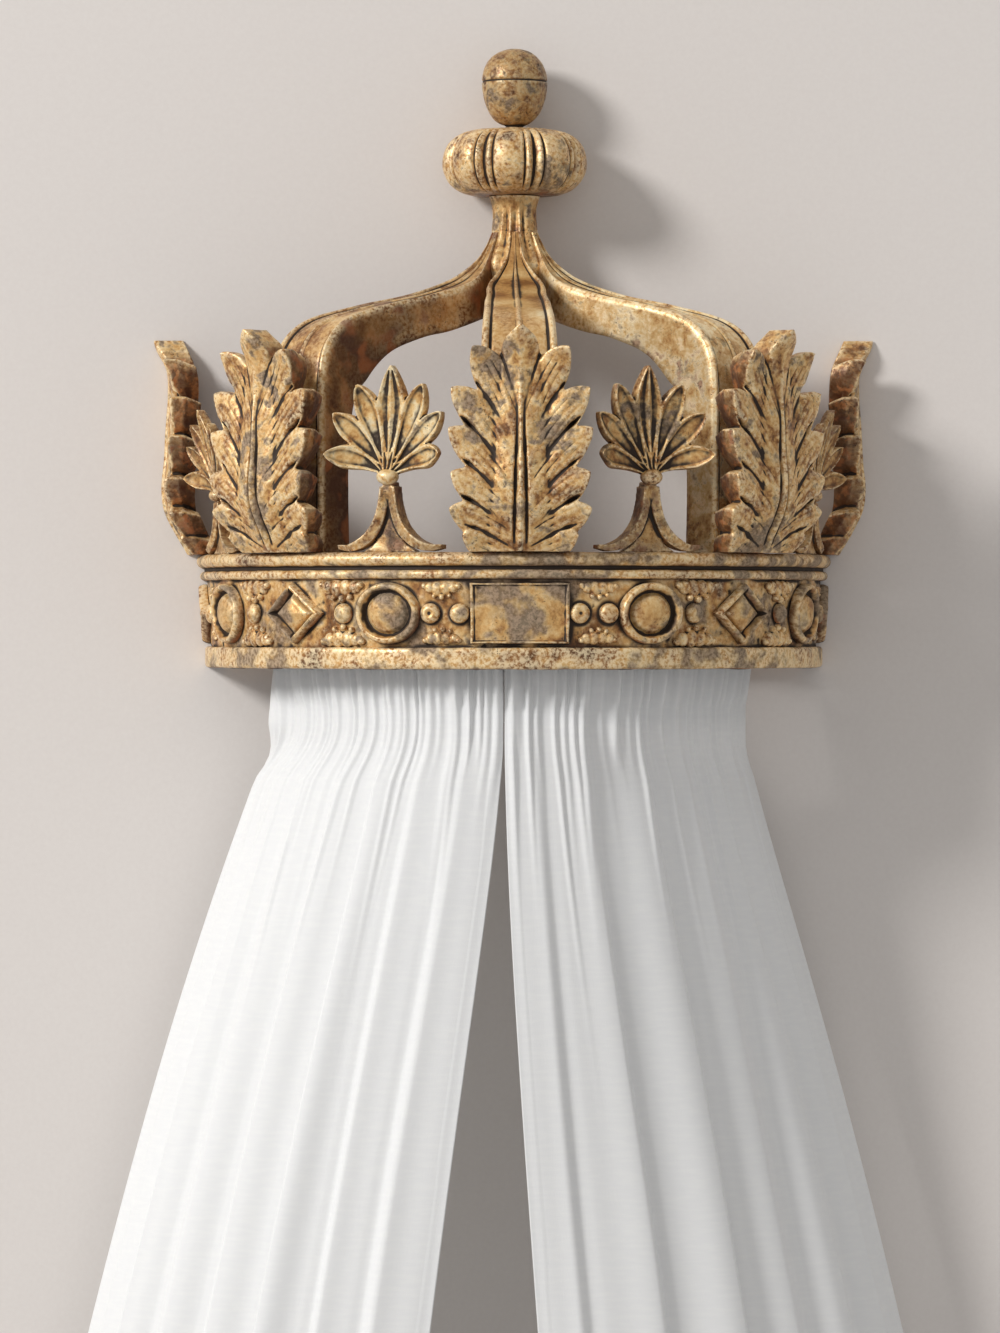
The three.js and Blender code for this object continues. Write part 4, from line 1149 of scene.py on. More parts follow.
def rounded_curve(knots, count):
    """Points of a smooth curve through the knots, evenly stepped from knot to knot."""
    knots = np.array(knots, float)
    ends = np.vstack([2 * knots[0] - knots[1], knots, 2 * knots[-1] - knots[-2]])
    gaps = np.maximum(np.linalg.norm(np.diff(ends, axis=0), axis=1), 1e-6) ** 0.5
    times = np.concatenate([[0], np.cumsum(gaps)])
    spots = []
    for place in np.linspace(0, len(knots) - 1, count):
        i = min(int(place), len(knots) - 2)
        p, t = ends[i : i + 4], times[i : i + 4]
        now = t[1] + (place - i) * (t[2] - t[1])

        def mixed(row, k, span):
            share = row[k] * (t[k + span] - now) + row[k + 1] * (now - t[k])
            return share / (t[k + span] - t[k])

        first = [mixed(p, k, 1) for k in range(3)]
        second = [mixed(first, k, 2) for k in range(2)]
        spots.append((second[0] * (t[2] - now) + second[1] * (now - t[1])) / (t[2] - t[1]))
    return np.array(spots)


def rim_sink(across, rim):
    """How far the outer face lies below its rims, from edge -1 to edge 1."""
    reach = np.abs(across)
    middle = rim * (0.5 + 0.35 * (reach / 0.74) ** 2) * (1 - smoothstep(reach, 0.76, 0.88))
    groove = rim * 0.35 * np.exp(-(((reach - 0.76) / 0.04) ** 2))
    edge = rim * 1.1 * smoothstep(reach, 0.93, 1.0)
    ridge = rim * 0.6 * np.exp(-((reach / 0.045) ** 2))
    return middle + groove + edge - ridge


print("the face sinks", rim_sink(np.zeros(1), RIB_RIM)[0] / MM, "mm at its middle")

# %% [markdown]
# Rings are laid from the outer edge to the inner edge. The side ribs turn towards the
# neck as they rise and narrow to a wedge there, so that the three fit side by side.

# %% Lay the rings of a rib
RIB_STATIONS = 210
FACE_POINTS, BACK_POINTS, FLANK_POINTS = 57, 28, 9


def plan_ways(turn):
    """The ways ahead and beside, seen from above, at an angle round the crown."""
    ahead = np.array([math.sin(turn), -math.cos(turn)])
    return ahead, np.array([math.cos(turn), math.sin(turn)])


def rib_edge(share, up, reach):
    """Distance from the neck's axis, height and half width of one edge of a rib."""
    distance = HUB_RADIUS + (reach - HUB_RADIUS) * max(share, 0)
    height = STAND + (RIB_TOP - STAND) * min(up, 1)
    half = LEG_WIDTH * through(RIB_WIDTH, np.array([share]))[0] / 2
    return distance, height, min(half, distance * math.tan(SIDE_RIB_TURN / 2) - SEAT)


def rib_ring(outer, inner, leg, reach, turn, across):
    """One ring of a rib: its grooved face, its right flank, its back and its left flank."""
    ahead, beside = plan_ways(turn)
    span, drop = outer[0] - inner[0], outer[1] - inner[1]
    depth = math.hypot(span, drop)

    def spot(edge, side, sink):
        plan_place = leg + ahead * (edge[0] - reach - sink * span / depth)
        return [*(plan_place + beside * side), edge[1] - sink * drop / depth]

    sink = rim_sink(across, min(RIB_RIM, outer[2] / 3))
    front = np.array([spot(outer, outer[2] * a, s) for a, s in zip(across, sink)])
    sides = np.linspace(-1, 1, BACK_POINTS)
    back = np.array([spot(inner, -inner[2] * a, 0.0) for a in sides])
    steps = np.linspace(0, 1, FLANK_POINTS + 2)[1:-1, None]
    right = front[-1] * (1 - steps) + back[0] * steps
    left = back[-1] * (1 - steps) + front[0] * steps
    return np.concatenate([front, right, back, left])


def rib_rings(angle):
    """Rings of points along a rib, from the cap to its top."""
    leg = on_arc(math.radians(angle), LEG_RADIUS, 0)[:2]
    inward = leg - NECK_AXIS
    reach = np.linalg.norm(inward)
    plan = math.atan2(inward[0], -inward[1])
    even = np.linspace(-1, 1, FACE_POINTS)
    across = np.sin(even * math.pi / 2) * 0.4 + even * 0.6
    rings = []
    outer_curve = rounded_curve(RIB_OUTER, RIB_STATIONS)
    for outer, inner in zip(outer_curve, rounded_curve(RIB_INNER, RIB_STATIONS)):
        turn = plan + (math.radians(angle) - plan) * smoothstep(outer[0], 0.6, 1)
        edges = rib_edge(*outer, reach), rib_edge(*inner, reach)
        rings.append(rib_ring(*edges, leg, reach, turn, across))
    return rings


side_leg = on_arc(math.radians(LEAF_ANGLES[2]), LEG_RADIUS, 0)[:2] - NECK_AXIS
SIDE_RIB_TURN = math.atan2(side_leg[0], -side_leg[1])
print(f"the side ribs meet the neck at {math.degrees(SIDE_RIB_TURN):.1f} degrees")

# %% [markdown]
# The lap under a rib goes down inside the cap moulding and the hoop. The measured cap is
# made of chords, which leave the lap a little less room than a true circle would.

# %% Add the laps and raise the ribs
# The right rib takes the paler copy, painted light for its inner face turned to the window
RIB_FINISHES = {"left": rib_gilding, "front": satin_gilding, "right": pale_gilding}
RIB_DENT = 0.15 * MM
CAP_CHORDS = 64


def lap_rings(ring, angle):
    """The narrower block under a rib, inside the cap moulding and the hoop."""
    ahead, beside = plan_ways(math.radians(angle))
    side = ring[:, :2] @ beside
    out = ring[:, :2] @ ahead
    side_share = side / np.abs(side).max()
    out_share = (out - out.min()) / (out.max() - out.min())
    chord = math.cos(math.pi / CAP_CHORDS)
    lap_out = math.sqrt((CAP_INNER * chord) ** 2 - (LAP_WIDTH / 2) ** 2) - SEAT
    lap_in = out.min()
    new_out = lap_in + (lap_out - lap_in) * smoothstep(out_share, 0.1, 0.9)
    plan_places = ahead * new_out[:, None] + beside * (side_share * LAP_WIDTH / 2)[:, None]
    heights = (STAND - LAP_HEIGHT, STAND - LAP_HEIGHT / 2, STAND - 0.5 * MM)
    return [np.column_stack([plan_places, np.full(len(ring), z)]) for z in heights]


for (word, finish), angle in zip(RIB_FINISHES.items(), LEAF_ANGLES):
    rings = rib_rings(angle)
    mesh = mesh_from(f"arch_{word}", *loft(lap_rings(rings[0], angle) + rings))
    finished(f"arch_{word}", mesh, finish, [f"rib_{word}"], NECK_AXIS[1], RIB_DENT)

# %% [markdown]
# ## Neck
# The neck was turned on a lathe and then carved. A profile is spun round the upright
# axis, as a Screw modifier does, but with ridges and webs that a modifier can't add.

# %% Turn a profile
TURNED_STEPS = 240


def lathed(name, profile, ridges=None, steps=TURNED_STEPS):
    """A closed body of revolution through [radius, height] pairs; ridges change radii."""
    turn = np.linspace(0, 2 * math.pi, steps, endpoint=False)
    rings = []
    for radius, height in profile:
        swell = ridges(turn, radius, height) if ridges else 0
        x = np.sin(turn) * (radius + swell)
        y = -np.cos(turn) * (radius + swell) - NECK_SETBACK
        rings.append(np.stack([x, y, np.full(steps, height)], -1))
    return mesh_from(name, *loft(rings))


print(f"turned pieces have {TURNED_STEPS} steps round them")

# %% Carve the neck
# Radius in mm of the web between the ribs at each height below their top, in mm
WEB = (
    (-78, 12), (-64, 17), (-52, 23), (-42, 28.5), (-34, 31.6),
    (-27, 31.6), (-20, 28.8), (-14, 26), (-8, 23), (0, 20.2),
)
# Radius in mm of the neck at each share of its height above the ribs
NECK_RADII = ((0, 19.8), (0.2, 19.2), (0.45, 18.6), (0.72, 19.3), (1, 22))
NECK_STEPS = 360


def neck_carving(turn, radius, height):
    """Webs that fill the corners between the ribs, and ridges that run up the neck."""
    gap = np.abs((turn + math.pi) % (2 * math.pi) - math.pi)
    below = (height - RIB_TOP) / MM
    swell = np.zeros(len(turn))
    if below < 0.5:
        web = through(WEB, np.array([min(below, 0)]))[0] * MM
        inside = 1 - smoothstep(gap, SIDE_RIB_TURN, SIDE_RIB_TURN + 0.35)
        swell += np.maximum(0, web - radius) * inside
    strong = smoothstep(below, -46, -22) * (1 - smoothstep(below, 10, 27))
    ridges = 1.5 * np.exp(-(((gap - 0.2) / 0.07) ** 2))
    ridges += 0.9 * np.exp(-(((gap - 0.62) / 0.1) ** 2))
    grooves = 1.3 * np.exp(-((gap / 0.12) ** 2))
    grooves += 1.4 * np.exp(-(((gap - 0.4) / 0.09) ** 2))
    return swell + (ridges - grooves) * strong * MM


hub_floor = STAND + 0.75 * (RIB_TOP - STAND)
hub = HUB_RADIUS - SEAT
neck_profile = [(0.5 * MM, hub_floor - hub / 2), (hub * 0.6, hub_floor - hub / 3)]
neck_profile.append((hub, hub_floor))
neck_profile += [(hub, z) for z in np.linspace(hub_floor + 2 * MM, RIB_TOP - 44 * MM, 30)]
neck_profile += [(hub, z) for z in np.linspace(RIB_TOP - 42 * MM, RIB_TOP, 50)]
neck_floor = RIB_TOP + SEAT
for share in np.linspace(0, 1, 40):
    radius = through(NECK_RADII, np.array([share]))[0]
    neck_profile.append((radius * MM, neck_floor + share * (neck_high.z - neck_floor)))
neck_profile.append((15 * MM, neck_high.z))
neck_mesh = lathed("carved_neck", neck_profile, neck_carving, steps=NECK_STEPS)
finished("carved_neck", neck_mesh, gilding, ["neck"], axis_y=NECK_AXIS[1])

# %% [markdown]
# ## Ball
# The ball is fuller than a stock sphere and has a turned seam and a short stem, so its
# profile is drawn.

# %% Turn the ball
BALL_RADIUS = (ball_high.x - ball_low.x) / 2
BALL_MIDDLE = ball_high.z - BALL_RADIUS
BALL_DROP = BALL_MIDDLE - ball_low.z
ball_stem = ((3, 0), (8.6, 0), (8.4, 1.2), (7.6, 2.6))
ball_profile = [(radius * MM, ball_low.z + rise * MM) for radius, rise in ball_stem]
for turn in np.linspace(-1.33, math.pi / 2 - 0.02, 90):
    tall = BALL_DROP - 2.4 * MM if turn < 0 else BALL_RADIUS
    height = BALL_MIDDLE + tall * math.sin(turn)
    full = 0.78 if turn < 0 else 0.88
    seam = 1.0 * MM * math.exp(-(((height - BALL_MIDDLE) / (0.8 * MM)) ** 2))
    ball_profile.append((BALL_RADIUS * math.cos(turn) ** full - seam, height))
ball_mesh = lathed("turned_ball", ball_profile)
DEEP_DENT = 0.5 * MM
finished("turned_ball", ball_mesh, dull_gilding, ["ball_finial"], NECK_AXIS[1], DEEP_DENT)

# %% [markdown]
# ## Repeating a carved part
# Pearls, sprigs, stitches and the knop's lobes are each one shape used many times. A
# small Geometry Nodes tree puts a copy on every point of a list, turned by the number
# stored there. Copies made by hand would all have to be moved when a size changes.

# %% Build the tree that repeats a part
COPY_INPUTS = (
    ("Points", "NodeSocketGeometry"), ("Part", "NodeSocketObject"),
    ("Merge distance", "NodeSocketFloat"),
)


def copies_tree(name):
    """A tree with named inputs that puts the part on each point, turned and sized."""
    tree = bpy.data.node_groups.new(f"{name}_copies", "GeometryNodeTree")
    for socket, kind in COPY_INPUTS:
        tree.interface.new_socket(socket, in_out="INPUT", socket_type=kind)
    tree.interface.new_socket("Copies", in_out="OUTPUT", socket_type="NodeSocketGeometry")
    start, end = tree.nodes.new("NodeGroupInput"), tree.nodes.new("NodeGroupOutput")
    shape = add_node(tree, "GeometryNodeObjectInfo", {"Object": start.outputs["Part"]})
    turn, size = (
        add_node(tree, "GeometryNodeInputNamedAttribute", {"Name": key}, data_type="FLOAT")
        for key in ("turn", "size")
    )
    spin = add_node(tree, "ShaderNodeCombineXYZ", {"Z": turn.outputs["Attribute"]})
    copies = add_node(
        tree,
        "GeometryNodeInstanceOnPoints",
        {
            "Points": start.outputs["Points"],
            "Instance": shape.outputs["Geometry"],
            "Rotation": spin.outputs[0],
            "Scale": size.outputs["Attribute"],
        },
    )
    real = add_node(tree, "GeometryNodeRealizeInstances", {"Geometry": copies.outputs[0]})
    near = {"Geometry": real.outputs[0], "Distance": start.outputs["Merge distance"]}
    merged = add_node(tree, "GeometryNodeMergeByDistance", near)
    gilt = {"Geometry": merged.outputs[0], "Material": gilding}
    coated = add_node(tree, "GeometryNodeSetMaterial", gilt)
    tree.links.new(coated.outputs[0], end.inputs["Copies"])
    return tree


print("the tree's inputs are", ", ".join(socket for socket, _ in COPY_INPUTS))

# %% [markdown]
# The tree runs as a modifier on a list of points. The result becomes a plain mesh, and
# nothing of the tree is left on the finished piece.

# %% Repeat a part


def repeated(name, part_mesh, places, turns, sizes, merge=0.0):
    """One mesh with a copy of the part at each place, turned about the upright axis."""
    part = bpy.data.objects.new(f"{name}_part", part_mesh)
    points = bpy.data.meshes.new(f"{name}_points")
    points.from_pydata([list(p) for p in places], [], [])
    for key, values in (("turn", turns), ("size", sizes)):
        points.attributes.new(key, "FLOAT", "POINT").data.foreach_set("value", list(values))
    holder = bpy.data.objects.new(name, points)
    for thing in (part, holder):
        bpy.context.scene.collection.objects.link(thing)
    tree = copies_tree(name)
    modifier = holder.modifiers.new("copies", "NODES")
    modifier.node_group = tree
    sockets = tree.interface.items_tree
    named = {item.name: item.identifier for item in sockets if item.in_out == "INPUT"}
    modifier[named["Part"]] = part
    modifier[named["Merge distance"]] = merge
    graph = bpy.context.evaluated_depsgraph_get()
    mesh = bpy.data.meshes.new_from_object(holder.evaluated_get(graph))
    for thing in (part, holder):
        bpy.data.objects.remove(thing)
    bpy.data.meshes.remove(points)
    bpy.data.node_groups.remove(tree)
    print(f"{name}: {len(turns)} copies")
    return mesh


# %% [markdown]
# ## Melon knop
# Eight lobes stand round the axis, each a dome between two thin beads. One lobe is drawn
# from groove to groove, eight copies close the ring, and the back is sawn flat.

# %% Carve one lobe
KNOP_FLOOR = knop_low.z
KNOP_TOP = knop_high.z
KNOP_LOBES = 8
KNOP_RADIUS = 62.4 * MM
KNOP_END = 22 * MM
FIRST_DIVISION = 16.4
LOBE_ROWS, LOBE_COLUMNS = 72, 61


def lobe_depth(share):
    """How far a lobe lies inside the knop's radius, from groove to groove."""
    edge = np.minimum(share, 1 - share)
    split = np.exp(-((edge / 0.05) ** 2))
    bead = np.exp(-(((edge - 0.125) / 0.036) ** 2))
    groove = np.exp(-(((edge - 0.195) / 0.03) ** 2))
    dome = np.sin(math.pi * np.clip((share - 0.2) / 0.6, 0, 1)) ** 0.6
    return 3.0 * MM * (1 - dome) + 4.2 * MM * split + 1.6 * MM * groove - 1.5 * MM * bead


def knop_lobe():
    """One wedge of the knop with its ends drawn in to the axis."""
    columns = LOBE_COLUMNS
    share = np.linspace(0, 1, columns)
    turn = 2 * math.pi / KNOP_LOBES * share
    way = np.stack([np.sin(turn), -np.cos(turn)], -1)
    depth = lobe_depth(share)
    points = [np.column_stack([way * 0, np.full(columns, KNOP_FLOOR)])]
    for level in np.linspace(0, math.pi, LOBE_ROWS):
        bulge = math.sin(level) ** 0.66
        height = KNOP_FLOOR + (KNOP_TOP - KNOP_FLOOR) * (1 - math.cos(level)) / 2
        reach = KNOP_END + (KNOP_RADIUS - KNOP_END) * bulge - depth * bulge
        points.append(np.column_stack([way * reach[:, None], np.full(columns, height)]))
    points.append(np.column_stack([way * 0, np.full(columns, KNOP_TOP)]))
    grid = np.array(points)
    index = np.arange(grid.shape[0] * columns).reshape(-1, columns)
    quads = np.stack([index[:-1, :-1], index[:-1, 1:], index[1:, 1:], index[1:, :-1]], -1)
    return mesh_from("knop_lobe", grid.reshape(-1, 3), quads.reshape(-1, 4).tolist())


print(f"a lobe is {360 / KNOP_LOBES:.0f} degrees wide")

# %% Close the ring of lobes and saw its back
MERGE_DISTANCE = 0.02 * MM
lobe_turns = [math.radians(FIRST_DIVISION + 360 / KNOP_LOBES * i) for i in range(KNOP_LOBES)]
axis_points = [(0, -NECK_SETBACK, 0)] * KNOP_LOBES
sizes = [1.0] * KNOP_LOBES
ring = repeated("melon_knop", knop_lobe(), axis_points, lobe_turns, sizes, MERGE_DISTANCE)
knop_mesh = sawn(ring, (0, -1, 0), "melon_knop")
finished("melon_knop", knop_mesh, gilding, ["knop"], axis_y=NECK_AXIS[1])
# %% [markdown]
# ## Band and mouldings
# The hoop, its cap moulding and its foot moulding are half rings of one section each, bent
# from wall to wall. A bevelled curve could do it, but hundreds of steps round the half
# circle leave room for dents, which break up the light.

# %% Bend a moulding
BAND_STEPS = 430
HOOP_STEPS = 520


def half_ring(name, section, step=2.2 * MM, steps=BAND_STEPS):
    """A half ring of a [radius, height] section; long sides are cut into short ones."""
    dense = []
    for start, end in zip(section, section[1:] + section[:1]):
        start, end = np.array(start), np.array(end)
        parts = max(1, int(np.linalg.norm(end - start) / step))
        dense += [start + (end - start) * i / parts for i in range(parts)]
    dense = np.array(dense)
    angles = np.linspace(-math.pi / 2, math.pi / 2, steps)
    rings = on_arc(angles[:, None], dense[None, :, 0], dense[None, :, 1])
    rings[[0, -1], :, 1] = np.minimum(rings[[0, -1], :, 1], 0)
    return mesh_from(name, *loft(rings))


print(f"mouldings have {BAND_STEPS} steps from wall to wall, the hoop {HOOP_STEPS}")

# %% [markdown]
# The cap moulding has a large round nose on top, a dark groove and a small bead below.

# %% Make the cap moulding


def nose(radius, stand, low, high, count):
    """Section points of a round nose from low to high."""
    turns = np.linspace(0, math.pi, count)
    middle, half = (low + high) / 2, (high - low) / 2
    return [(radius + stand * math.sin(t), middle - half * math.cos(t)) for t in turns]


CAP_THICKNESS = 8.2 * MM
TORUS_HEIGHT = 11.5 * MM
GROOVE_HEIGHT = 3 * MM
GROOVE_DEPTH = 6.5 * MM
torus_foot = CAP_TOP - TORUS_HEIGHT
bead_top = torus_foot - GROOVE_HEIGHT
throat = CAP_RADIUS - GROOVE_DEPTH
cap_floor = CAP_TOP - CAP_THICKNESS
cap_section = [(CAP_INNER, cap_floor), (BAND_RADIUS + SEAT, cap_floor)]
cap_section += [(BAND_RADIUS + SEAT, FACE_TOP + 0.6 * MM), (BAND_RADIUS + 0.9 * MM, FACE_TOP)]
cap_section += nose(throat, 3.7 * MM, FACE_TOP + 0.2 * MM, bead_top, 16)
cap_section += nose(throat, GROOVE_DEPTH, torus_foot, CAP_TOP, 26) + [(CAP_INNER, CAP_TOP)]
finished("cap_torus", half_ring("cap_torus", cap_section), band_gilding, ["cap_moulding"])

# %% [markdown]
# The foot moulding is a plain fillet with worn corners. The hoop tapers a little towards
# its foot and is the most dented.

# %% Make the foot moulding and the hoop
HOOP_DENT = 0.9 * MM
foot_inner = BAND_RADIUS - BAND_TAPER + SEAT
# Corners of the fillet: how far inside its radius, and how far above its foot, in mm
foot_section = [(foot_inner, foot_low.z)]
foot_section += [
    (FOOT_RADIUS - inside * MM, foot_low.z + rise * MM)
    for inside, rise in ((2.6, 0), (0.8, 0.7), (0, 2.4))
]
foot_section += [
    (FOOT_RADIUS - inside * MM, FACE_FOOT - fall * MM)
    for inside, fall in ((0, 2.2), (0.7, 0.7), (2.2, 0))
]
foot_section.append((foot_inner, FACE_FOOT))
foot_mesh = half_ring("foot_fillet", foot_section)
finished("foot_fillet", foot_mesh, band_gilding, ["foot_moulding"], dents=DEEP_DENT)

hoop_section = [(HOOP_INNER, hoop_low.z), (BAND_RADIUS - BAND_TAPER, hoop_low.z)]
hoop_section += [(BAND_RADIUS - BAND_TAPER, FACE_FOOT), (BAND_RADIUS, FACE_TOP)]
hoop_section += [(BAND_RADIUS, hoop_high.z), (HOOP_INNER, hoop_high.z)]
hoop_mesh = half_ring("bent_hoop", hoop_section, step=1.6 * MM, steps=HOOP_STEPS)
hoop_piece = finished("bent_hoop", hoop_mesh, band_gilding, ["hoop"], dents=HOOP_DENT)

# %% [markdown]
# ## Ornaments on the band
# A tablet, four ovals and lozenges stand on the band like cut stones in their mounts. Each
# is a set of rings that shrink towards the middle, with a rise for each ring. A displaced
# plane would have too few points on the steep sides.

# %% Draw an ornament


def face_radius(height):
    return BAND_RADIUS - BAND_TAPER * (1 - (height - FACE_FOOT) / (FACE_TOP - FACE_FOOT))


def ornament(name, angle, outline, rings):
    """Rings of [size share, rise] of an outline of [side, height] places."""
    sizes, rises = np.array(rings).T
    height = FACE_MIDDLE + outline[None, :, 1] * sizes[:, None]
    radius = face_radius(height) + SEAT + rises[:, None]
    turn = math.radians(angle) + outline[None, :, 0] * sizes[:, None] / BAND_RADIUS
    return mesh_from(name, *loft(on_arc(turn, radius, height), closed_ends=False))


print(f"radius of the band's face: {face_radius(FACE_MIDDLE):.4f} m")

# %% Draw their outlines


def ellipse(width, height, count=96):
    turn = np.linspace(0, 2 * math.pi, count, endpoint=False)
    return np.stack([np.cos(turn) * width / 2, np.sin(turn) * height / 2], -1)


def polygon(corners, parts):
    """An outline with each side cut into its own number of parts."""
    rows = []
    for (start, end), count in zip(zip(corners, corners[1:] + corners[:1]), parts):
        share = np.linspace(0, 1, count, endpoint=False)[:, None]
        rows.append(np.array(start) * (1 - share) + np.array(end) * share)
    return np.concatenate(rows)


oval_outline = ellipse(57 * MM, 51 * MM)
w, h = 32 * MM, 25.5 * MM
lozenge_outline = polygon([(-w, 0), (0, -h), (w, 0), (0, h)], [26] * 4)
w, h = 41 * MM, 25 * MM
tablet_outline = polygon([(-w, -h), (w, -h), (w, h), (-w, h)], [44, 26, 44, 26])
print("outline points:", len(oval_outline), len(lozenge_outline), len(tablet_outline))

# %% [markdown]
# From the outside in: a soft edge, the frame's round back, a groove cut steeply down and
# the stone. The tablet is plain but for a thin raised edge.

# %% Write down how each face rises
FACE_RINGS = 70


def ring_table(rises):
    """Back of the ornament, its side, and then its face through [size, rise in mm] pairs."""
    back = [(0.001, 0), (0.35, 0), (0.7, 0), (1, 0), (1, 0.3 * rises[-1][1] * MM)]
    sizes = np.linspace(1, 0.001, FACE_RINGS)
    return back + [(size, through(rises, np.array([size]))[0] * MM) for size in sizes]


OVAL_FACE = [(0, 8.8), (0.25, 8.4), (0.45, 7.0), (0.57, 5.0), (0.64, 2.4), (0.68, 1.6),
             (0.72, 2.0), (0.76, 4.8), (0.81, 7.6), (0.88, 8.4), (0.95, 7.4), (0.985, 5.2),
             (1, 3.2)]
LOZENGE_FACE = [(0, 8.2), (0.3, 6.6), (0.58, 3.8), (0.65, 1.8), (0.71, 1.8), (0.75, 4.4),
                (0.8, 7.0), (0.89, 7.8), (0.95, 6.6), (1, 3.2)]
TABLET_FACE = [(0, 3.9), (0.5, 3.8), (0.88, 3.6), (0.915, 3.8), (0.94, 4.9), (0.97, 5.1),
               (0.99, 4.5), (1, 3.4)]
print("an oval stands", max(rise for _, rise in OVAL_FACE), "mm proud of the band")

# %% Set the ornaments on the band
OVAL_ANGLES = (-67.1, -24.2, 24.2, 67.1)
LOZENGE_ANGLES = (-90, -44.7, 44.7, 90)

tablet_mesh = ornament("plain_tablet", 0, tablet_outline, ring_table(TABLET_FACE))
finished("plain_tablet", tablet_mesh, band_gilding, ["tablet"], dents=DEEP_DENT)
for number, angle in enumerate(OVAL_ANGLES, 1):
    name = f"cabochon_{number}"
    mesh = ornament(name, angle, oval_outline, ring_table(OVAL_FACE))
    finished(name, mesh, band_gilding, [f"oval_{number}"], dents=DEEP_DENT)
for number, angle in enumerate(LOZENGE_ANGLES[1:3], 1):
    name = f"diamond_{number}"
    mesh = ornament(name, angle, lozenge_outline, ring_table(LOZENGE_FACE))
    finished(name, mesh, band_gilding, [f"lozenge_{number}"])
for word, angle in (("left", LOZENGE_ANGLES[0]), ("right", LOZENGE_ANGLES[3])):
    name = f"half_diamond_{word}"
    whole = ornament(name, angle, lozenge_outline, ring_table(LOZENGE_FACE))
    finished(name, sawn(whole, (0, -1, 0), name), band_gilding, [f"half_lozenge_{word}"])

# %% [markdown]
# Shade is painted on the band close round whatever stands on it: the hoop's hollow number
# is raised there in patches, and the finish darkens it. An ambient occlusion node would
# show in renders only, and this stays on the mesh.

# %% Measure how near an ornament is
PEARL_ANGLES = (-78.6, -56.6, -33.4, -16.2, -10.8, 10.8, 16.2, 33.4, 56.6, 78.6)
PEARL_RADIUS = 8.4 * MM
# Where ornaments stand, how their outline is measured, and their half width and height
FOOTPRINTS = (
    ((0,), np.maximum, 41 * MM, 25 * MM),
    (OVAL_ANGLES, np.hypot, 28.5 * MM, 25.5 * MM),
    (LOZENGE_ANGLES, np.add, 32 * MM, 25.5 * MM),
    (PEARL_ANGLES, np.hypot, PEARL_RADIUS, PEARL_RADIUS),
)


def distance_to_ornaments(points):
    """Distance from points of the band to the nearest ornament or edge."""
    turn = np.degrees(np.arctan2(points[:, 0], -points[:, 1]))
    up = np.abs(points[:, 2] - FACE_MIDDLE)
    near = np.minimum(FACE_TOP - points[:, 2], points[:, 2] - FACE_FOOT).clip(0)
    for angles, measure, wide, tall in FOOTPRINTS:
        for angle in angles:
            side = np.abs(np.radians(turn - angle) * BAND_RADIUS)
            size = measure(side / wide, up / tall)
            near = np.minimum(near, np.maximum(0, size - 1) * min(wide, tall))
    return near


print(sum(len(angles) for angles, *_ in FOOTPRINTS), "ornaments gather dirt")

# %% Paint shade on the band round the ornaments
SHADE_REACH = 3 * MM


def paint_ornament_shade(piece):
    """Raises the hollow number of the band near the ornaments, which paints shade there."""
    mesh = piece.data
    points = points_of(mesh)
    near = distance_to_ornaments(points)
    patchy = np.array([noise.noise(Vector(p) * 45) for p in points.tolist()])
    # Painted shade round each ornament, in patches
    shade = np.exp(-((near / SHADE_REACH) ** 1.5)) * np.clip(0.62 + 0.9 * patchy, 0.15, 1)
    colours = np.empty(len(points) * 4)
    layer = mesh.color_attributes[WEAR_AND_SHADE].data
    layer.foreach_get("color", colours)
    colours[::4] = np.maximum(colours[::4], shade)
    layer.foreach_set("color", colours)
    return int((shade > 0.5).sum())


print(paint_ornament_shade(hoop_piece), "points of the band darkened")

# %% [markdown]
# ## Pearls and sprigs
# Ten pearls sit between the ornaments. One plain and one dimpled pearl are drawn as rings,
# and the tree puts copies in their places.

# %% Repeat the pearls
PEARL_STEPS = 40
# Kind of pearl, depth of its dimple and which of the ten are of that kind
PEARL_KINDS = (("plain", 0.0, (0, 1, 2, 4, 6, 7, 8)), ("dimpled", 2.6 * MM, (3, 5, 9)))
SMALL_DENT = 0.3 * MM


def pearl(dimple):
    """A bead that stands out towards -Y, with its back at the origin."""
    turn = np.linspace(0, 2 * math.pi, PEARL_STEPS, endpoint=False)
    rings = []
    for share in np.linspace(0, 1, 26):
        reach = PEARL_RADIUS * (1 - share**2.2) ** 0.5 if share < 1 else 0.02 * MM
        rise = 7 * MM * share**0.8 - dimple * math.exp(-((reach / (2.6 * MM)) ** 2))
        around = np.cos(turn) * reach, np.full(PEARL_STEPS, -rise), np.sin(turn) * reach
        rings.append(np.stack(around, -1))
    return mesh_from("pearl", *loft(rings))


def on_face(angle, height, stand):
    return on_arc(math.radians(angle), face_radius(height) + stand, height)


for kind, dimple, numbers in PEARL_KINDS:
    angles = [PEARL_ANGLES[i] for i in numbers]
    places = [on_face(angle, FACE_MIDDLE, SEAT) for angle in angles]
    turns = [math.radians(angle) for angle in angles]
    mesh = repeated(f"pearls_{kind}", pearl(dimple), places, turns, [1.0] * len(angles))
    nodes = [f"pearl_{i + 1}" for i in numbers]
    finished(f"pearls_{kind}", mesh, band_gilding, nodes, dents=SMALL_DENT)

# %% [markdown]
# ## Sprigs
# Worn sprigs of carving fill the corners above and below the pearls. A sprig is nine
# squashed balls melted into one lump, which is all that wear has left of it.

# %% Repeat the sprigs
SPRIG_VOXEL = 0.75 * MM
SPRIG_RISE = 4.4 * MM
SPRIG_INSET = 9.5 * MM
SPRIG_GAPS = (-78.6, -56.2, -33.8, -14.2, 14.2, 33.8, 56.2, 78.6)
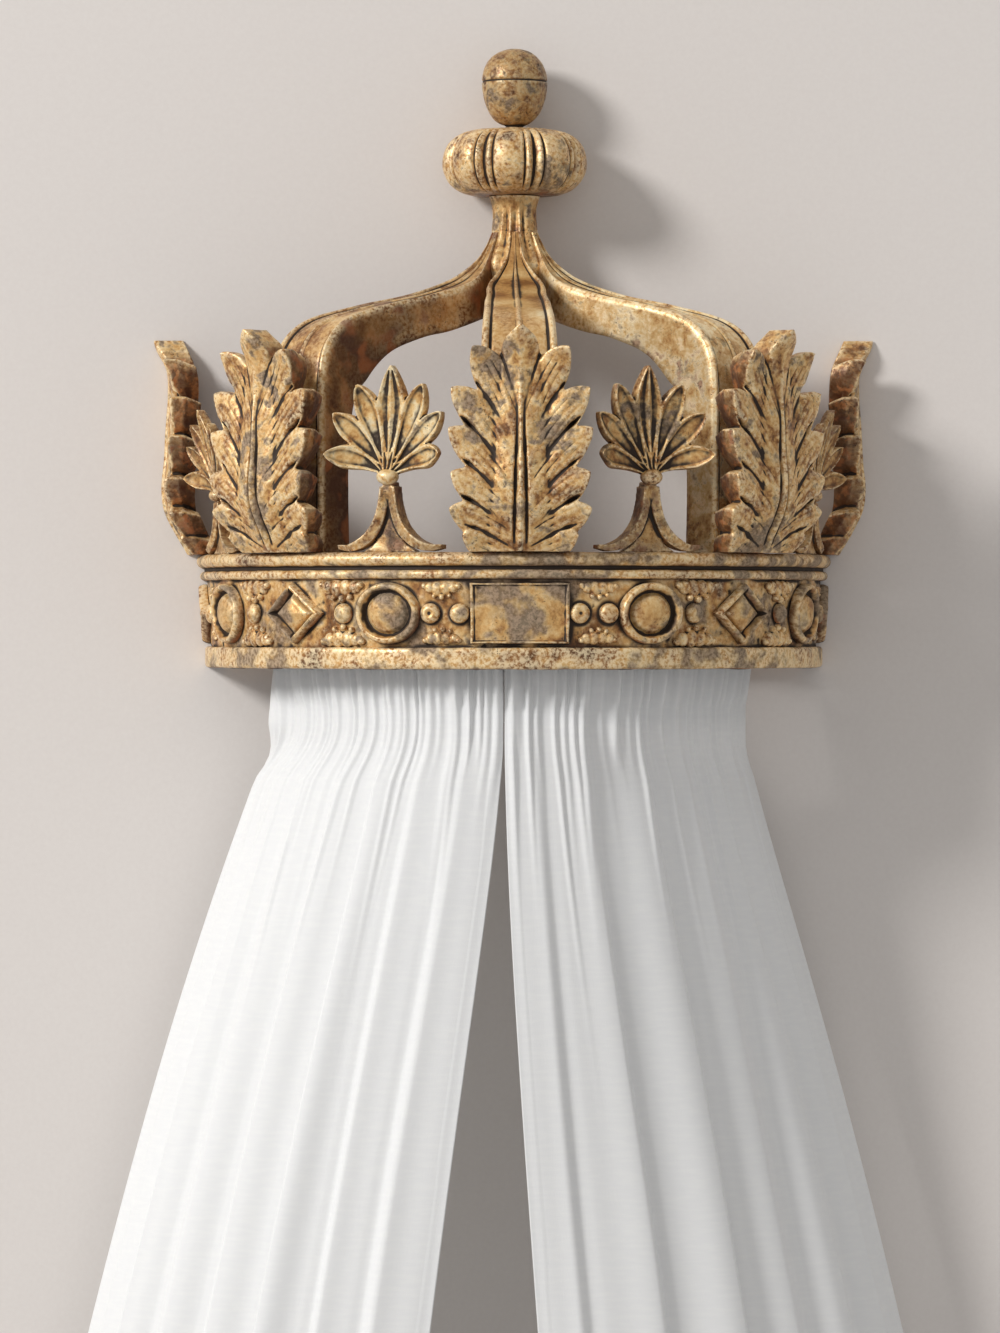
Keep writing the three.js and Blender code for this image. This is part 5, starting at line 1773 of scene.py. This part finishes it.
# Side and height of each lobe of a sprig, its half width and half height in mm, its turn
SPRIG_LOBES = (
    (-3.5, 1.5, 6.4, 7.2, 0.35), (4.5, 2, 6.6, 6.2, -0.4), (-11, 2.5, 5.4, 5.4, 0.8),
    (12, 2.5, 5.2, 4.8, -0.7), (-16.5, 4, 3, 3.2, 0), (17, 4, 3.2, 2.8, 0),
    (1, -6.5, 2.8, 3, 0), (-6.5, -5.5, 2.4, 2.6, 0), (8.5, -5, 2.2, 2.4, 0),
)


def sprig():
    """Nine worn lobes, melted into one lump on the band."""
    bodies = []
    for x, z, wide, tall, turn in SPRIG_LOBES:
        points, faces = round_body((0, 0, 0), (wide * MM, SPRIG_RISE, tall * MM), 20, 12)
        spun = points.copy()
        spun[:, 0] = points[:, 0] * math.cos(turn) - points[:, 2] * math.sin(turn) + x * MM
        spun[:, 2] = points[:, 0] * math.sin(turn) + points[:, 2] * math.cos(turn) + z * MM
        bodies.append((spun, faces))
    return melted("sprig", bodies, SPRIG_VOXEL, softening=2)


def sprig_size(angle):
    """Small at the wall, large at the sides and middling beside the tablet."""
    return 0.55 if abs(angle) > 70 else 1.12 if abs(angle) > 20 else 0.86


for word, level, flip in (
    ("upper", FACE_TOP - SPRIG_INSET, 1), ("lower", FACE_FOOT + SPRIG_INSET, -1)
):
    part = sprig()
    points = points_of(part)
    points[:, 2] *= flip
    set_points(part, points)
    if flip < 0:
        part.flip_normals()
    places = [on_face(angle, level, 0.2 * MM) for angle in SPRIG_GAPS]
    turns = [math.radians(angle) for angle in SPRIG_GAPS]
    sizes = [sprig_size(angle) for angle in SPRIG_GAPS]
    mesh = repeated(f"sprigs_{word}", part, places, turns, sizes)
    finished(f"sprigs_{word}", mesh, gilding, dents=SMALL_DENT)
# %% [markdown]
# ## Sheer panels
# Each panel is one long sheet with a pocket sewn along its top, gathered on the rod. It
# falls in small pleats that join into wide folds. A cloth simulation of a sheet 2.1 m
# long would take minutes and move with every change, so the folds are drawn instead: a
# plan line at each height, with pleats and folds as pushes away from that line.

# %% Set out the panels
ROD_CENTRE = -32 * MM
ROD_RADIUS = 195 * MM
ROD_HEIGHT = -34 * MM
# The cloth's wall end stays a little short of the rod's quarter turn
ROD_END = math.pi / 2 - 0.15
POCKET_RADIUS = 7.6 * MM
SEAM = ROD_HEIGHT - 59 * MM
PANEL_DROP = 2134 * MM
CLOTH = 0.7 * MM
# The panels meet a little left of the crown's middle
MEETING_LINE = -12.6 * MM
MEETING_GAP = 0.7 * MM
# In mm: loose is how far the first pleat stands off, stand how far the outer edge hangs
# outside the rod, flare how far it spreads on its way down, after a soft length.
# inner_flare and inner_soft are the same at the middle. full is the depth of the folds,
# and lines are where they begin, as shares from the wall end to the middle.
PANELS = {
    "left": dict(
        side=-1, loose=17, stand=8, flare=452, soft=1, inner_flare=216, inner_soft=150, seed=3,
        full=1, lines=(0, 0.11, 0.22, 0.35, 0.5, 0.63, 0.74, 0.86, 1),
    ),
    "right": dict(
        side=1, loose=2, stand=2, flare=414, soft=60, inner_flare=145, inner_soft=500, seed=8,
        full=0.95, lines=(0, 0.08, 0.17, 0.29, 0.42, 0.58, 0.76, 0.89, 1),
    ),
}
print(f"the pocket's seam lies {ROD_HEIGHT - SEAM:.3f} m below the rod")

# %% [markdown]
# At the rod the cloth follows the rod's half circle, and a few centimetres below the
# seam it lies on a wider and flatter curve.

# %% Draw the plan of a panel
HELD_OFF = 0.08
FALL_LENGTH = 1200 * MM
LEAVES_ROD = 55 * MM


def fade(drop, soft):
    """A fall that starts gently after the soft length and fades towards upright."""
    return 1 - np.exp(-(drop**2 / (drop + soft * MM)) / FALL_LENGTH)


def round_the_rod(side, share):
    """Plan of the cloth on the rod and its outward direction."""
    meet = MEETING_LINE + side * MEETING_GAP
    angle = side * ROD_END * (1 - share) + math.asin(meet / ROD_RADIUS) * share
    way = np.stack([np.sin(angle), -np.cos(angle)], -1)
    return way * ROD_RADIUS + (0, ROD_CENTRE), way


def hanging_free(panel, share, drop):
    """Plan of the cloth below the rod and its outward direction."""
    side = panel["side"]
    spread = panel["flare"] * MM * fade(drop, panel["soft"])
    inner_spread = panel["inner_flare"] * MM * fade(drop, panel["inner_soft"])
    outer = side * (ROD_RADIUS + panel["stand"] * MM + spread)
    inner = MEETING_LINE + side * (MEETING_GAP + inner_spread)
    depth = ROD_RADIUS - 80 * MM * fade(drop, 190)
    flat = 0.16 * smoothstep(drop, 0, 380 * MM)
    turn = math.pi / 2 * share
    bulge = (1 - flat) * np.sin(turn) + flat * (1 - (1 - HELD_OFF) * np.cos(turn))
    slope = (1 - flat) * np.cos(turn) + flat * (1 - HELD_OFF) * np.sin(turn)
    spot = np.sin(ROD_END * (1 - share)) / math.sin(ROD_END)
    place = np.stack([inner + (outer - inner) * spot, ROD_CENTRE - depth * bulge], -1)
    way = np.stack([depth * slope * side, -np.abs(outer - inner) * np.sin(turn)], -1)
    return place, way / np.linalg.norm(way, axis=-1)[..., None]


def panel_plan(panel, share, height):
    """Middle line of the cloth, its outward direction and its drop below the seam."""
    drop = np.maximum(0, SEAM - height)
    rod, rod_way = round_the_rod(panel["side"], share)
    free, free_way = hanging_free(panel, share, drop)
    loose = smoothstep(drop, 0, LEAVES_ROD)[..., None]
    way = rod_way * (1 - loose) + free_way * loose
    way /= np.linalg.norm(way, axis=-1)[..., None]
    return rod * (1 - loose) + free * loose, way, drop


for word, panel in PANELS.items():
    edge = hanging_free(panel, np.zeros(1), np.full(1, PANEL_DROP))[0][0, 0]
    print(f"{word} panel: outer edge at the foot {edge:.3f} m from the middle")

# %% [markdown]
# The pocket makes short creases, each with its own place, width, height, length and lean,
# where a noise would make them all alike.

# %% Gather the cloth
GATHERS = 34
GATHER_LENGTHS = [26, 45, 90, 150]


def gathers(panel, share, drop):
    """Outward push of the short creases."""
    random = np.random.default_rng(panel["seed"])
    push = np.zeros(share.shape)
    for number in range(GATHERS):
        centre = (number + random.uniform(0.1, 0.9)) / GATHERS
        width = random.uniform(0.005, 0.012)
        length = random.choice(GATHER_LENGTHS) * random.uniform(0.8, 1.2) * MM
        height = random.uniform(2.5, 8) * MM
        lean = random.uniform(-0.12, 0.12) * drop
        push += height * np.exp(-(((share - centre - lean) / width) ** 2) - (drop / length) ** 2)
    return push * (0.25 + 0.75 * smoothstep(share, 0, 0.06))


print(f"{GATHERS} creases for each pocket")

# %% [markdown]
# Between its fold lines the cloth rises fast and falls back slowly. The lines wander on
# their way down, and the folds get deeper.

# %% Fold the cloth
FINE_FOLD = 2.4 * MM
FOLDS_GROW = 480 * MM
SWAY = 3.5 * MM


def wandering(seed, drop, scale):
    """A smooth random number for each drop, from -1 to 1."""
    values = [noise.noise(Vector((seed * 7.3, d / scale, 1.7))) for d in np.ravel(drop).tolist()]
    return np.reshape(values, np.shape(drop))


def fold_lines(panel, drop):
    """Where the folds begin at each drop, as shares of the cloth."""
    loose = smoothstep(drop, 0, 0.5)
    return [
        line + 0.022 * wandering(panel["seed"] + number, drop, 0.6) * loose * (0 < line < 1)
        for number, line in enumerate(panel["lines"])
    ]


def folds(panel, share, drop):
    """Outward push and sideways shift of the folds between the panel's fold lines."""
    seed, lines = panel["seed"], panel["lines"]
    moved = fold_lines(panel, drop[:, :1])
    growth = 1 - np.exp(-drop / FOLDS_GROW)
    push = np.zeros(share.shape)
    for number, (start, end) in enumerate(zip(moved[:-1], moved[1:])):
        part = (share - start) / (end - start)
        width = (lines[number + 1] - lines[number]) / 0.13
        deep = (5 + 7 * width + 3.5 * math.sin(seed + 2.3 * number)) * panel["full"] * MM
        depth = FINE_FOLD + (deep - FINE_FOLD) * growth
        rise = 0.2 + 0.1 * math.sin(1.7 * number + seed)
        ridge = smoothstep(part, 0, rise) * (1 - smoothstep(part, 0.1, 1))
        ripple = 0.1 * np.sin(3 * math.pi * part + number) * (part > 0) * (part < 1)
        ripple *= smoothstep(part, 0, 0.2) * (1 - smoothstep(part, 0.8, 1))
        push += depth * (ridge + ripple)
    push *= 0.35 + 0.65 * smoothstep(share, 0, 0.28)
    spots = zip(share.ravel(), drop.ravel())
    sway = [noise.noise(Vector((s * 7, d * 2.6, seed))) for s, d in spots]
    push += SWAY * np.reshape(sway, share.shape) * growth
    return push, 0.3 * push * growth


print("folds:", {word: len(panel["lines"]) - 1 for word, panel in PANELS.items()})

# %% [markdown]
# Seen from the side, the cloth goes up behind the rod, over it and down in front to the
# foot. Every row of the sheet is one point of that path.

# %% Lead the cloth over the rod
POCKET_ROWS = 13
FALL_ROWS = 112
LAYER_GAP = 1.3 * MM


def panel_rows():
    """The path of the cloth: [distance out from the rod, height], from the pocket's hem."""
    up = np.linspace(0, 1, POCKET_ROWS)
    out = LAYER_GAP + (POCKET_RADIUS - LAYER_GAP) * smoothstep(up, 0.1, 1.0)
    side = np.stack([out, SEAM + up * (ROD_HEIGHT - SEAM)], -1)
    back, front = side * (-1, 1), side[::-1][1:]
    turn = np.linspace(math.pi, 0, POCKET_ROWS)[1:]
    over = np.stack([np.cos(turn), np.sin(turn)], -1) * POCKET_RADIUS + (0, ROD_HEIGHT)
    foot = ROD_HEIGHT + POCKET_RADIUS - PANEL_DROP
    down = SEAM + (foot - SEAM) * np.linspace(0, 1, FALL_ROWS)[1:] ** 1.35
    fall = np.stack([np.full(len(down), LAYER_GAP), down], -1)
    return np.concatenate([back, over, front, fall]), len(back) + len(over)


rows, front_start = panel_rows()
seam_row = int(np.argmin(np.abs(rows[front_start:, 1] - SEAM))) + front_start
print(f"{len(rows)} rows, the seam is row {seam_row}, the foot is at {rows[-1, 1]:.3f} m")

# %% Bend the sheet
PANEL_COLUMNS = 330


def panel_grid(panel):
    """The points of one panel, in rows along the rod and columns down the cloth."""
    share, out = np.meshgrid(np.linspace(0, 1, PANEL_COLUMNS), rows[:, 0])
    height = np.broadcast_to(rows[:, 1:2], share.shape)
    place, way, drop = panel_plan(panel, share, height)
    push, shift = folds(panel, share, drop)
    first = front_start - 6
    front = np.zeros((len(rows), 1))
    front[first:, 0] = smoothstep(np.arange(len(rows) - first), 0, 18)
    ends = smoothstep(share, 0, 0.03) * (1 - smoothstep(share, 0.97, 1))
    first_pleat = panel["loose"] * MM * np.exp(-((share / 0.08) ** 2))
    first_pleat *= 1 - smoothstep(drop, 0, 45 * MM)
    creases = gathers(panel, share, drop) * np.clip(out / POCKET_RADIUS * 3, -1, 1)
    outward = out + (push + first_pleat) * front + creases
    along = np.stack([-way[..., 1], way[..., 0]], -1) * panel["side"]
    plan = place + way * outward[..., None] + along * (shift * front * ends)[..., None]
    return np.concatenate([plan, height[..., None]], -1)


grids = {word: panel_grid(panel) for word, panel in PANELS.items()}
print("points in each panel:", {word: grid[..., 0].size for word, grid in grids.items()})

# %% [markdown]
# The flat measure of the cloth goes into the UV map in metres, so the weave keeps its
# size in every fold.

# %% Make the sheet
SIDE_HEM = 12 * MM
FOOT_HEM = 40 * MM


def spans(grid, axis):
    """Lengths of the cloth from point to point, down the grid or across it."""
    return np.linalg.norm(np.diff(grid, axis=axis), axis=-1)


def sheet_mesh(name, grid):
    """The sheet's mesh, which points lie in a hem, and the sheet's flat size."""
    lines, columns = grid.shape[:2]
    across = np.pad(np.cumsum(spans(grid, 1), axis=1), ((0, 0), (1, 0)))
    width = float(np.median(across[:, -1]))
    down = np.pad(np.cumsum(spans(grid, 0).mean(1)), (1, 0))
    u = across * (width / across[:, -1:])
    v = np.broadcast_to(down[:, None], u.shape)
    index = np.arange(lines * columns).reshape(lines, columns)
    corners = index[:-1, :-1], index[1:, :-1], index[1:, 1:], index[:-1, 1:]
    quads = np.stack(corners, -1).reshape(-1, 4)
    mesh = bpy.data.meshes.new(name)
    mesh.from_pydata(grid.reshape(-1, 3).tolist(), [], quads.tolist())
    flat = np.stack([u, v], -1).reshape(-1, 2)
    layer = mesh.uv_layers.new(name="cloth_metres")
    layer.data.foreach_set("uv", flat[quads.ravel()].ravel())
    folded = np.maximum(np.minimum(u, width - u) < SIDE_HEM, v > down[-1] - FOOT_HEM)
    return mesh, folded.ravel(), (width, float(down[-1]))


print(f"side hems {SIDE_HEM:.3f} m, foot hems {FOOT_HEM:.3f} m")

# %% [markdown]
# ## Sheer cloth
# The cloth is a white linen voile. It scatters light, lets some through and shows its
# slubby weave close up. Threads would need millions of faces, so the weave is a bump.

# %% Mix the voile


def voile():
    material, tree, shader, output = new_finish("white_voile")
    flat = add_node(tree, "ShaderNodeUVMap", uv_map="cloth_metres").outputs["UV"]
    warp = mottle(tree, stretched(tree, flat, (1500, 60, 1)), 1, 1)
    weft = mottle(tree, stretched(tree, flat, (60, 1500, 1)), 1, 1)
    slub = mottle(tree, stretched(tree, flat, (40, 260, 1)), 1, 2)
    slubby = stepped(tree, slub, 0.42, 0.66)
    colour = blended(tree, slubby, paint(248, 249, 250), paint(250, 251, 251))
    tree.links.new(colour, shader.inputs["Base Color"])
    shader.inputs["Roughness"].default_value = 0.9
    shader.inputs["Specular IOR Level"].default_value = 0.15
    bumpy(tree, shader, shader_maths(tree, "ADD", warp, weft), 0.15 * MM, 0.5)
    lit = add_node(tree, "ShaderNodeBsdfTranslucent", {"Color": paint(251, 252, 252)}).outputs[0]
    clear = add_node(tree, "ShaderNodeBsdfTransparent").outputs[0]
    cloth = add_node(tree, "ShaderNodeMixShader", {0: 0.3, 1: shader.outputs[0], 2: lit})
    open_weave = shader_maths(tree, "MULTIPLY_ADD", slub, -0.03, 0.06)
    mix = add_node(tree, "ShaderNodeMixShader", {0: open_weave, 1: cloth.outputs[0], 2: clear})
    tree.links.new(mix.outputs[0], output.inputs["Surface"])
    return material


white_voile = voile()
print("cloth finish:", white_voile.name)

# %% [markdown]
# ## Stitches
# Copies of one small stitch are sewn along the pocket seam and above the foot hem. They
# turn with the cloth and stand out from it, where painted ones would lie flat.

# %% Sew a row of stitches
STITCH_SIZE = (1.5 * MM, 0.32 * MM, 0.32 * MM)
STITCH_LIFT = 0.5 * MM
POCKET_PITCH = 4.5 * MM
FOOT_PITCH = 6 * MM


def sew(name, line, pitch, lift):
    """Stitches along one row of the panel's grid."""
    lengths = np.pad(np.cumsum(spans(line, 0)), (1, 0))
    stops = np.arange(pitch, lengths[-1], pitch)
    spots = np.stack([np.interp(stops, lengths, values) for values in line.T], -1)
    ahead = np.stack([np.interp(stops, lengths, np.gradient(values)) for values in line.T], -1)
    turns = np.arctan2(ahead[:, 1], ahead[:, 0])
    out = np.stack([ahead[:, 1], -ahead[:, 0]], -1)
    spots[:, :2] += out / np.linalg.norm(out, axis=1)[:, None] * lift
    stitch = mesh_from("stitch", *round_body((0, 0, 0), STITCH_SIZE, 10, 6))
    mesh = repeated(name, stitch, spots, turns, [1.0] * len(spots))
    mesh.materials.clear()
    mesh.materials.append(white_voile)
    return placed(name, mesh)


print(f"a stitch each {POCKET_PITCH / MM} mm in the seam, {FOOT_PITCH / MM} mm below")

# %% [markdown]
# ## The hung panels
# The hems are double cloth, so Solidify makes them twice as thick. The sheet itself stays
# one layer of quads.

# %% Hang the panels
HEM_WEIGHT = 0.5


def hung(word, grid):
    """The sheet of one panel with its thick hems, and its flat size."""
    mesh, folded, flat = sheet_mesh(f"voile_{word}", grid)
    mesh.materials.append(white_voile)
    mesh.polygons.foreach_set("use_smooth", [True] * len(mesh.polygons))
    sheet = bpy.data.objects.new(f"voile_{word}", mesh)
    bpy.context.scene.collection.objects.link(sheet)
    group = sheet.vertex_groups.new(name="hem")
    group.add([int(i) for i in np.flatnonzero(folded)], 1.0, "REPLACE")
    thick = sheet.modifiers.new("cloth", "SOLIDIFY")
    thick.thickness = 2 * CLOTH
    thick.offset = 0
    thick.vertex_group = "hem"
    thick.thickness_vertex_group = HEM_WEIGHT
    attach(sheet, ROOT)
    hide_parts(f"panel_{word}")
    return sheet, flat


foot_row = int(np.argmin(np.abs(rows[:, 1] - (rows[-1, 1] + FOOT_HEM))))
for word, panel in PANELS.items():
    grid = grids[word]
    sheet, flat = hung(word, grid)
    lift = STITCH_LIFT * panel["side"]
    stitches = [
        sew(f"pocket_stitches_{word}", grid[seam_row], POCKET_PITCH, lift),
        sew(f"hem_stitches_{word}", grid[foot_row], FOOT_PITCH, lift),
    ]
    print(f"voile_{word}: {flat[0]:.3f} x {flat[1]:.3f} m flat")
# %% [markdown]
# ## Rail, hangers and rod
# The parts that nobody sees keep their measured shapes, since carving them again would
# add nothing. The rail is bare pine, the hangers are zinc-plated steel and the rod is
# brushed bronze.

# %% Mix the bare pine


def raw_pine():
    material, tree, shader, _ = new_finish("raw_pine")
    place = add_node(tree, "ShaderNodeTexCoord").outputs["Object"]
    rings = mottle(tree, stretched(tree, place, (6, 90, 130)), 1.0, 4, 0.6, 0.8)
    pores = mottle(tree, stretched(tree, place, (40, 900, 900)), 1, 2)
    wood = paint(150, 112, 74), paint(196, 156, 108)
    colour = blended(tree, stepped(tree, rings, 0.38, 0.64), *wood)
    colour = blended(tree, stepped(tree, pores, 0.55, 0.72), colour, paint(122, 86, 54))
    tree.links.new(colour, shader.inputs["Base Color"])
    shader.inputs["Roughness"].default_value = 0.78
    bumpy(tree, shader, rings, 0.3 * MM, 0.5)
    return material


pine = raw_pine()
print("the rail and its blocks are", pine.name)

# %% Mix the metals


def brushed_metal(name, base, dark, roughness):
    """A metal with cloudy stains and fine scratches along its length."""
    material, tree, shader, _ = new_finish(name)
    place = add_node(tree, "ShaderNodeTexCoord").outputs["Object"]
    cloudy = mottle(tree, place, 70, 4, 0.6)
    scratch = mottle(tree, stretched(tree, place, (60, 60, 1400)), 1, 3)
    colour = blended(tree, stepped(tree, cloudy, 0.4, 0.68), base, dark)
    tree.links.new(colour, shader.inputs["Base Color"])
    shader.inputs["Metallic"].default_value = 0.9
    spread = {"Value": scratch, "To Min": roughness - 0.1, "To Max": roughness + 0.14}
    rough = add_node(tree, "ShaderNodeMapRange", spread).outputs["Result"]
    tree.links.new(rough, shader.inputs["Roughness"])
    return material


zinc = brushed_metal("zinc_steel", paint(178, 178, 172), paint(140, 141, 138), 0.36)
bronze = brushed_metal("brushed_bronze", paint(150, 118, 78), paint(102, 78, 54), 0.38)
print("metals:", zinc.name, bronze.name)

# %% Coat the hidden parts
HIDDEN_FINISHES = {
    "back_rail": pine,
    "corner_block": pine,
    "hanger": zinc,
    "curtain_rod": bronze,
    "rod_socket": bronze,
}
for measured in bpy.data.objects:
    for start, finish in HIDDEN_FINISHES.items():
        if measured.name.startswith(start):
            for holder in measured.material_slots:
                holder.material = finish
            print(f"{measured.name}: {finish.name}")

# %% [markdown]
# ## The photograph's view
# The camera stands about 5.4 m away, a little left of the crown's middle, with a long
# lens, so the crown shows with hardly any perspective.

# %% Set the camera
CAMERA_PLACE = Vector((-0.102, -5.4, -0.011))
CAMERA_TARGET = Vector((-0.012, 0, -0.048))
FRAME_HEIGHT = 1.158
SENSOR = 36

camera_data = bpy.data.cameras.new("photo_view")
camera_data.sensor_width = SENSOR
camera_data.lens = SENSOR * -CAMERA_PLACE.y / FRAME_HEIGHT
camera = bpy.data.objects.new("photo_view", camera_data)
camera.location = CAMERA_PLACE
camera.rotation_euler = (CAMERA_TARGET - CAMERA_PLACE).to_track_quat("-Z", "Y").to_euler()
bpy.context.scene.collection.objects.link(camera)
bpy.context.scene.camera = camera
print(f"lens {camera_data.lens:.1f} mm")

# %% [markdown]
# ## Wall and floor
# The crown hangs on a painted wall. The wall is a single sheet that is clear from its
# back, so the rail and the panels can be looked at from behind too. It is open behind
# the rail, where the crown hides the opening, so that light reaches the rail's back.

# %% Mix the paints


def matt_paint(name, grain, dark, light, roughness):
    """A paint with a fine uneven tone. Returns its material, tree, shader and output."""
    material, tree, shader, output = new_finish(name)
    place = add_node(tree, "ShaderNodeTexCoord").outputs["Object"]
    colour = blended(tree, mottle(tree, place, grain, 3), dark, light)
    tree.links.new(colour, shader.inputs["Base Color"])
    shader.inputs["Roughness"].default_value = roughness
    return material, tree, shader, output


def wall_paint():
    tones = paint(217, 211, 207), paint(223, 218, 214)
    material, tree, shader, output = matt_paint("wall_paint", 260, *tones, 0.9)
    shader.inputs["Specular IOR Level"].default_value = 0.2
    back = add_node(tree, "ShaderNodeNewGeometry").outputs["Backfacing"]
    clear = add_node(tree, "ShaderNodeBsdfTransparent").outputs[0]
    mix = add_node(tree, "ShaderNodeMixShader", {0: back, 1: shader.outputs[0], 2: clear})
    tree.links.new(mix.outputs[0], output.inputs["Surface"])
    return material


def floor_paint():
    tones = paint(206, 201, 196), paint(214, 209, 205)
    return matt_paint("floor_paint", 40, *tones, 0.8)[0]


# %% Put up the wall and the floor
WALL_HALF = 2.1
WALL_TOP = 1.3
FLOOR = cad_box[0].z - 8 * MM
WALL_GAP = 1 * MM
RECESS_EDGE = 5 * MM


def stage_sheet(name, corners, finish, faces=((0, 1, 2, 3),)):
    mesh = bpy.data.meshes.new(name)
    mesh.from_pydata(corners, [], faces)
    mesh.materials.append(finish)
    sheet = bpy.data.objects.new(name, mesh)
    bpy.context.scene.collection.objects.link(sheet)
    sheet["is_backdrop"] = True
    return sheet


def wall_with_recess(low, high):
    """Corners and faces of the wall, left open behind the rail."""
    across = (-WALL_HALF, low.x + RECESS_EDGE, high.x - RECESS_EDGE, WALL_HALF)
    up = (FLOOR, low.z + RECESS_EDGE, high.z - RECESS_EDGE, WALL_TOP)
    corners = [(x, WALL_GAP, z) for z in up for x in across]
    cells = [(row, column) for row in range(3) for column in range(3) if (row, column) != (1, 1)]
    first = [4 * row + column for row, column in cells]
    return corners, [[i, i + 1, i + 5, i + 4] for i in first]


wall_corners, wall_faces = wall_with_recess(*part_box("back_rail"))
stage_sheet("wall", wall_corners, wall_paint(), wall_faces)
floor_plan = ((-1, -1), (1, -1), (1, 1), (-1, 1))
floor_corners = [(x * WALL_HALF, y * WALL_HALF, FLOOR) for x, y in floor_plan]
stage_sheet("floor", floor_corners, floor_paint())
print(f"the floor is at {FLOOR:.3f} m")

# %% [markdown]
# ## Light
# Daylight comes from a large window to the left and a little above. A disk lamp far away
# stands for it, and a weaker even light fills the shadows.

# %% Hang the window light
KEY_PLACE = Vector((-7.35, -5.6, 4.35))
KEY_SIZE = 2.5
KEY_POWER = 790


def soft_lamp(name, place, target, size, power, colour=(1, 1, 1)):
    data = bpy.data.lights.new(name, "AREA")
    data.shape = "DISK"
    data.size = size
    data.energy = power
    data.color = colour
    lamp = bpy.data.objects.new(name, data)
    lamp.location = place
    lamp.rotation_euler = (Vector(target) - Vector(place)).to_track_quat("-Z", "Y").to_euler()
    bpy.context.scene.collection.objects.link(lamp)
    return lamp


soft_lamp("window_light", KEY_PLACE, (0, 0, -0.1), KEY_SIZE, KEY_POWER, (1.0, 0.985, 0.965))
print(f"window light: {KEY_POWER} W, {KEY_PLACE.length:.1f} m away")

# %% Fill the shadows
FILL_LEVEL = 0.5

world = bpy.data.worlds.new("even_light")
bpy.context.scene.world = world
world.use_nodes = True
background = world.node_tree.nodes["Background"]
background.inputs["Color"].default_value = (1.0, 0.99, 0.98, 1)
background.inputs["Strength"].default_value = FILL_LEVEL
bpy.context.scene.view_settings.view_transform = "Standard"
print("even light:", FILL_LEVEL)

# %% [markdown]
# ## Sizes
# The measured box and the box of what shows are printed side by side.

# %% Print the sizes
shown_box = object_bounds()
sizes = {"cad": [list(c) for c in cad_box], "shown": [list(c) for c in shown_box]}
print(sizes)
